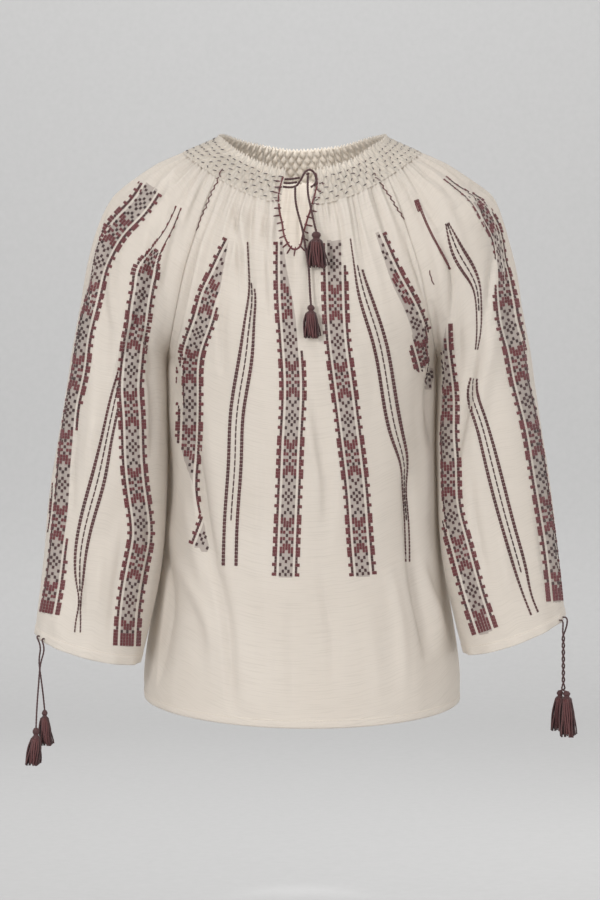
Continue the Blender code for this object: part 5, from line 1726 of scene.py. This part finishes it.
def twisted_route(name, place, phase):
    """Route of one of two cords that wind round each other below the cuff."""
    side = SLEEVE_SIDES[name][0]
    point, normal = casing_exit(name, place)
    middle, outward = casing_exit(name, TWIST_PLACE)
    axis = middle + outward * 2.0 * CUFF_CORD_DIAMETER
    axis = axis + np.array([TWIST_OUT[0] * side, TWIST_OUT[1], -TWIST_DROP])
    route = [point + normal * CAP_GAP, point + normal * 4.0 * CAP_GAP]
    for f in np.linspace(0.0, 1.0, 35):
        turn = math.pi * (phase - 0.5) + 2.0 * math.pi * TWIST_TURNS * f
        reach = TWIST_RADIUS + LEFT_TASSEL_SPREAD * max(0.0, (f - 0.9) / 0.1) ** 2
        route.append(axis + np.array([reach * math.cos(turn), reach * math.sin(turn), -TWIST_LENGTH * f]))
    return route


def make_cord(name, route, diameter):
    """Twisted cord along a route; gives the object, the line it follows and its length."""
    line = smooth_route(route, 0.0011)
    radii = np.full(len(line), 0.60 * diameter)
    tube = tube_mesh(line, radii, 10, 2, 0.13, CORD_PITCH)
    made = join_tubes(name, [tube], cord_thread, [0.45])
    length = float(walked(line)[-1])
    print(name, "length", round(length, 4), "m")
    return made, line, length


# Mouliné of the twisted cords, darker than the embroidery
cord_thread = thread_material("mouliné thread", "#4c2224", "#2a1415", 0.6, 300.0)
cords = {}
for name, route in TIE_ROUTES.items():
    cords[name] = make_cord(name + "_cord", route, TIE_DIAMETER)
for name, (panel, place, offsets) in CUFF_ROUTES.items():
    route = cuff_route(panel, place, offsets)
    cords[name] = make_cord(name + "_cord", route, CUFF_CORD_DIAMETER)
for name, (panel, place, phase) in TWISTED_CORDS.items():
    route = twisted_route(panel, place, phase)
    cords[name] = make_cord(name + "_cord", route, CUFF_CORD_DIAMETER)

knot_tubes = []
for tilt in KNOT_TILTS:
    turns = np.linspace(0.0, 2.0 * math.pi, 25)
    ring = np.stack([
        KNOT_HALF_SIZE[0] * np.cos(turns) * math.cos(tilt),
        KNOT_HALF_SIZE[1] * np.sin(turns) * 0.9,
        KNOT_HALF_SIZE[2] * (0.55 * np.cos(turns) * math.sin(tilt) + 0.5 * np.sin(turns)),
    ], axis=1) * 0.62 + np.array(KNOT_PLACE)
    knot_tubes.append(tube_mesh(ring, np.full(len(ring), KNOT_CORD_RADIUS), 8, 2, 0.12, CORD_PITCH))
knot = join_tubes("tie_knot_cord", knot_tubes, cord_thread, [0.4, 0.5, 0.6])

# %% [markdown]
# ## Tassels
#
# A tassel is a bundle of threads folded over the cord, bound below the fold and trimmed nearly
# level. The head is one turned form with fine windings; the skirt is 41 threads that spread
# evenly.

# %% Tassels
# Cord, height of head, length of skirt, half width, lean across, lean forward
TASSELS = {
    "tassel_tie_long": ("tie_end_long", 0.0085, 0.0270, 0.0078, 0.0012, -0.0030),
    "tassel_tie_short": ("tie_end_short", 0.0100, 0.0290, 0.0098, 0.0016, -0.0060),
    "tassel_cuff_right_a": ("cuff_cord_right_a", 0.0085, 0.0300, 0.0062, 0.0025, 0.0),
    "tassel_cuff_right_b": ("cuff_cord_right_b", 0.0110, 0.0300, 0.0074, -0.0035, 0.0),
    "tassel_cuff_left_a": ("cuff_cord_left_a", 0.0080, 0.0410, 0.0080, 0.0012, -0.0050),
    "tassel_cuff_left_b": ("cuff_cord_left_b", 0.0080, 0.0360, 0.0072, -0.0020, 0.0020),
}
ROOT_SHARE = 0.62
TASSEL_FLATNESS = 0.72
HEAD_WINDINGS = 9.0
HEAD_LOBES = 14.0
SKIRT_WAIST = 0.86  # half width where the skirt starts, for that of the head
SKIRT_THREADS = 41
SKIRT_THREAD = 0.0019
SKIRT_SPREAD = 1.16
HEAD_PROFILE = [
    (0.0016, 0.0, 0.0), (0.0, 0.62, -0.14), (0.0, 0.80, -0.42), (0.0, 0.60, -0.62),
    (0.0, 0.62, -0.76), (0.0, 0.96, -0.92), (0.0, 1.0, -1.04),
]
GOLDEN_ANGLE = 2.39996


def make_tassel(name, cord, head, skirt, half_width, lean, forward):
    """Head and skirt of one tassel below the end of its cord."""
    top = cords[cord][1][-1] + np.array([0.0, 0.0, 0.0006])
    root = ROOT_SHARE * half_width
    profile = np.array([(fixed + share * root, down * head) for fixed, share, down in HEAD_PROFILE])
    steps = np.linspace(0.0, len(profile) - 1, 31)
    fine = spline(profile, steps)
    ridges = 1.0 + 0.05 * np.cos(steps * HEAD_WINDINGS)
    turn = np.linspace(0.0, 2.0 * math.pi, 28, endpoint=False)
    rings = []
    for k, (radius, drop) in enumerate(fine):
        lobes = 1.0 + 0.06 * np.cos(HEAD_LOBES * turn + 0.4 * k)
        reach = radius * lobes * ridges[k]
        rings.append(np.stack([
            top[0] + reach * np.cos(turn), top[1] + reach * np.sin(turn) * TASSEL_FLATNESS,
            np.full(len(turn), top[2] + drop)], axis=1))
    # The rings run downwards, so each face is turned over
    faces = [(face[0], *face[:0:-1]) for face in tube_faces(len(fine), len(turn))]
    parts = [(np.concatenate(rings), faces)]
    shades = [0.35]
    waist = root * SKIRT_WAIST
    for k in range(SKIRT_THREADS):
        spread = SKIRT_SPREAD * math.sqrt((k + 0.5) / SKIRT_THREADS)
        angle = k * GOLDEN_ANGLE
        way = np.array([spread * math.cos(angle), spread * math.sin(angle) * TASSEL_FLATNESS, 0.0])
        uneven = 1.0 + 0.05 * math.sin(5.3 * k) - 0.02
        bow = 0.0007 * math.sin(3.1 * k)
        line = []
        for f in np.linspace(0.0, 1.0, 9):
            reach = waist + (half_width - waist) * (1.0 - (1.0 - f) ** 2.1)
            place = top + way * reach + np.array([lean * f ** 1.3, forward * f ** 1.3, 0.0])
            place[0] += bow * math.sin(math.pi * f * 1.5)
            place[2] = top[2] - 0.9 * head - skirt * uneven * f - 0.1 * head * (1.0 - f)
            line.append(place)
        radii = np.linspace(0.5 * SKIRT_THREAD, 0.42 * SKIRT_THREAD, 9)
        parts.append(tube_mesh(line, radii, 5, 2, 0.15, 0.004))
        shades.append(0.5 + 0.35 * math.sin(7.7 * k))
    return join_tubes(name + "_threads", parts, burgundy_tassel, shades)


# Loose burgundy strands of the tassels, a little smoother than the cord
burgundy_tassel = thread_material("tassel thread", "#5a2828", "#2a1313", 0.55, 500.0)
tassels = {name: make_tassel(name, *row) for name, row in TASSELS.items()}
print("tassels:", len(tassels), "with threads", SKIRT_THREADS * len(tassels))

# %% [markdown]
# ## Studio
#
# The picture has an even grey ground and very soft light, a little stronger from the upper left.
# A cove gives the ground and floor without a line between them. A narrow spot from above reaches
# the inner side of the neck at the back, which would be too dark otherwise.

# %% Backdrop, light and world
BACKDROP = "#b0b0b0"
BACKDROP_LIGHT = "#b6b6b6"
COVE_SIDES = (-8.0, 8.0)
WORLD_STRENGTH = 0.93
NECK_SPOT_ANGLE = 4.2  # degrees
NECK_SPOT_PLACE = (0.0, -1.7, 1.15)
NECK_SPOT_AIM = (0.0, 0.1, -0.047)
cove_line = [(-7.0, -1.05), (4.4, -1.05), (5.0, -1.0), (5.5, -0.75), (5.7, -0.2), (5.7, 5.0)]
cove_line = smooth_route([(y, z, 0.0) for y, z in cove_line], 0.15)
cove_points = np.stack([
    np.stack([np.array(COVE_SIDES), np.full(2, y), np.full(2, z)], axis=1)
    for y, z, _ in cove_line
])
cove_mesh, _ = grid_mesh("backdrop", cove_points, None, True)
# Matt grey paper of a photographer's backdrop, without any gloss
paper, paper_tree, paper_shader = new_material("backdrop paper", 0.9)
paper_shader.inputs["Specular IOR Level"].default_value = 0.0
paper_place = add_node(paper_tree, "ShaderNodeTexCoord").outputs["Object"]
grain = soft_noise(paper_tree, paper_place, 60.0, 2.0)
paper_colour = mixed(paper_tree, grain, linear(BACKDROP), linear(BACKDROP_LIGHT))
paper_tree.links.new(paper_colour, paper_shader.inputs["Base Color"])
backdrop = new_object("backdrop", cove_mesh, paper)


def area_light(name, place, aim, size, power):
    """Square soft light that faces a place."""
    data = bpy.data.lights.new(name, "AREA")
    data.shape = "SQUARE"
    data.size = size
    data.energy = power
    made = bpy.data.objects.new(name, data)
    made.location = place
    made.rotation_euler = (Vector(aim) - Vector(place)).to_track_quat("-Z", "Y").to_euler()
    bpy.context.scene.collection.objects.link(made)
    return made


LIGHTS = [
    area_light("key", (-1.5, -2.6, 0.5), (0.0, 0.0, -0.35), 0.7, 40.0),
    area_light("fill", (1.6, -2.8, -0.2), (0.0, 0.0, -0.35), 1.0, 23.0),
    area_light("back", (1.9, 2.3, 0.5), (0.0, 0.0, -0.35), 1.0, 14.0),
    area_light("ground", (0.0, 2.6, 3.2), (0.0, 5.6, 0.0), 3.5, 120.0),
]
spot_data = bpy.data.lights.new("neck", "SPOT")
spot_data.energy = 230.0
spot_data.spot_size = math.radians(NECK_SPOT_ANGLE)
spot_data.spot_blend = 0.6
spot_data.shadow_soft_size = 0.03
spot = bpy.data.objects.new("neck", spot_data)
spot.location = NECK_SPOT_PLACE
spot.rotation_euler = (Vector(NECK_SPOT_AIM) - spot.location).to_track_quat("-Z", "Y").to_euler()
bpy.context.scene.collection.objects.link(spot)
LIGHTS.append(spot)
world = bpy.data.worlds.new("studio")
world.use_nodes = True
world.node_tree.nodes["Background"].inputs["Color"].default_value = (1.0, 0.99, 0.98, 1.0)
world.node_tree.nodes["Background"].inputs["Strength"].default_value = WORLD_STRENGTH
bpy.context.scene.world = world
bpy.context.scene.view_settings.view_transform = "Standard"
print("lights:", [light.name for light in LIGHTS])

# %% [markdown]
# ## On the body
#
# Every piece rides on the one body, and the solids of the cloth, neck, cords, knot and tassels are hidden.

# %% Attach to the body
# Panel: cut width and length, then area where the cut isn't a rectangle
CUTS = {
    "front": (0.47, 0.58, 0.2350),
    "back": (0.47, 0.59, 0.2350),
    "sleeve_right": (0.38, 0.60, 0.2050),
    "sleeve_left": (0.38, 0.60, 0.2050),
}
for name, panel in panels.items():
    pieces = [embroidery[name]] if name in embroidery else []
    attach(panel, "root")
    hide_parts(name)
    for piece in pieces:
        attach(piece, "root")
    width, length, area = CUTS[name]
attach(neck_cloth, "root")
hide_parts("neck_smocking")
for piece, finish in ((smocking_stitches, "burgundy_thread"), (slit_line, "burgundy_thread"),
                      (edge_stitches, "burgundy_thread"), (hem_stitches, "cotton_cloth")):
    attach(piece, "root")

for name, (made, line, length) in cords.items():
    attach(made, "root")
    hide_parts(name)
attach(knot, "root")
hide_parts("tie_knot")
for name, tassel in tassels.items():
    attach(tassel, "root")
    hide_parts(name)

for tassel_name, row in TASSELS.items():
    made, line, length = cords[row[0]]
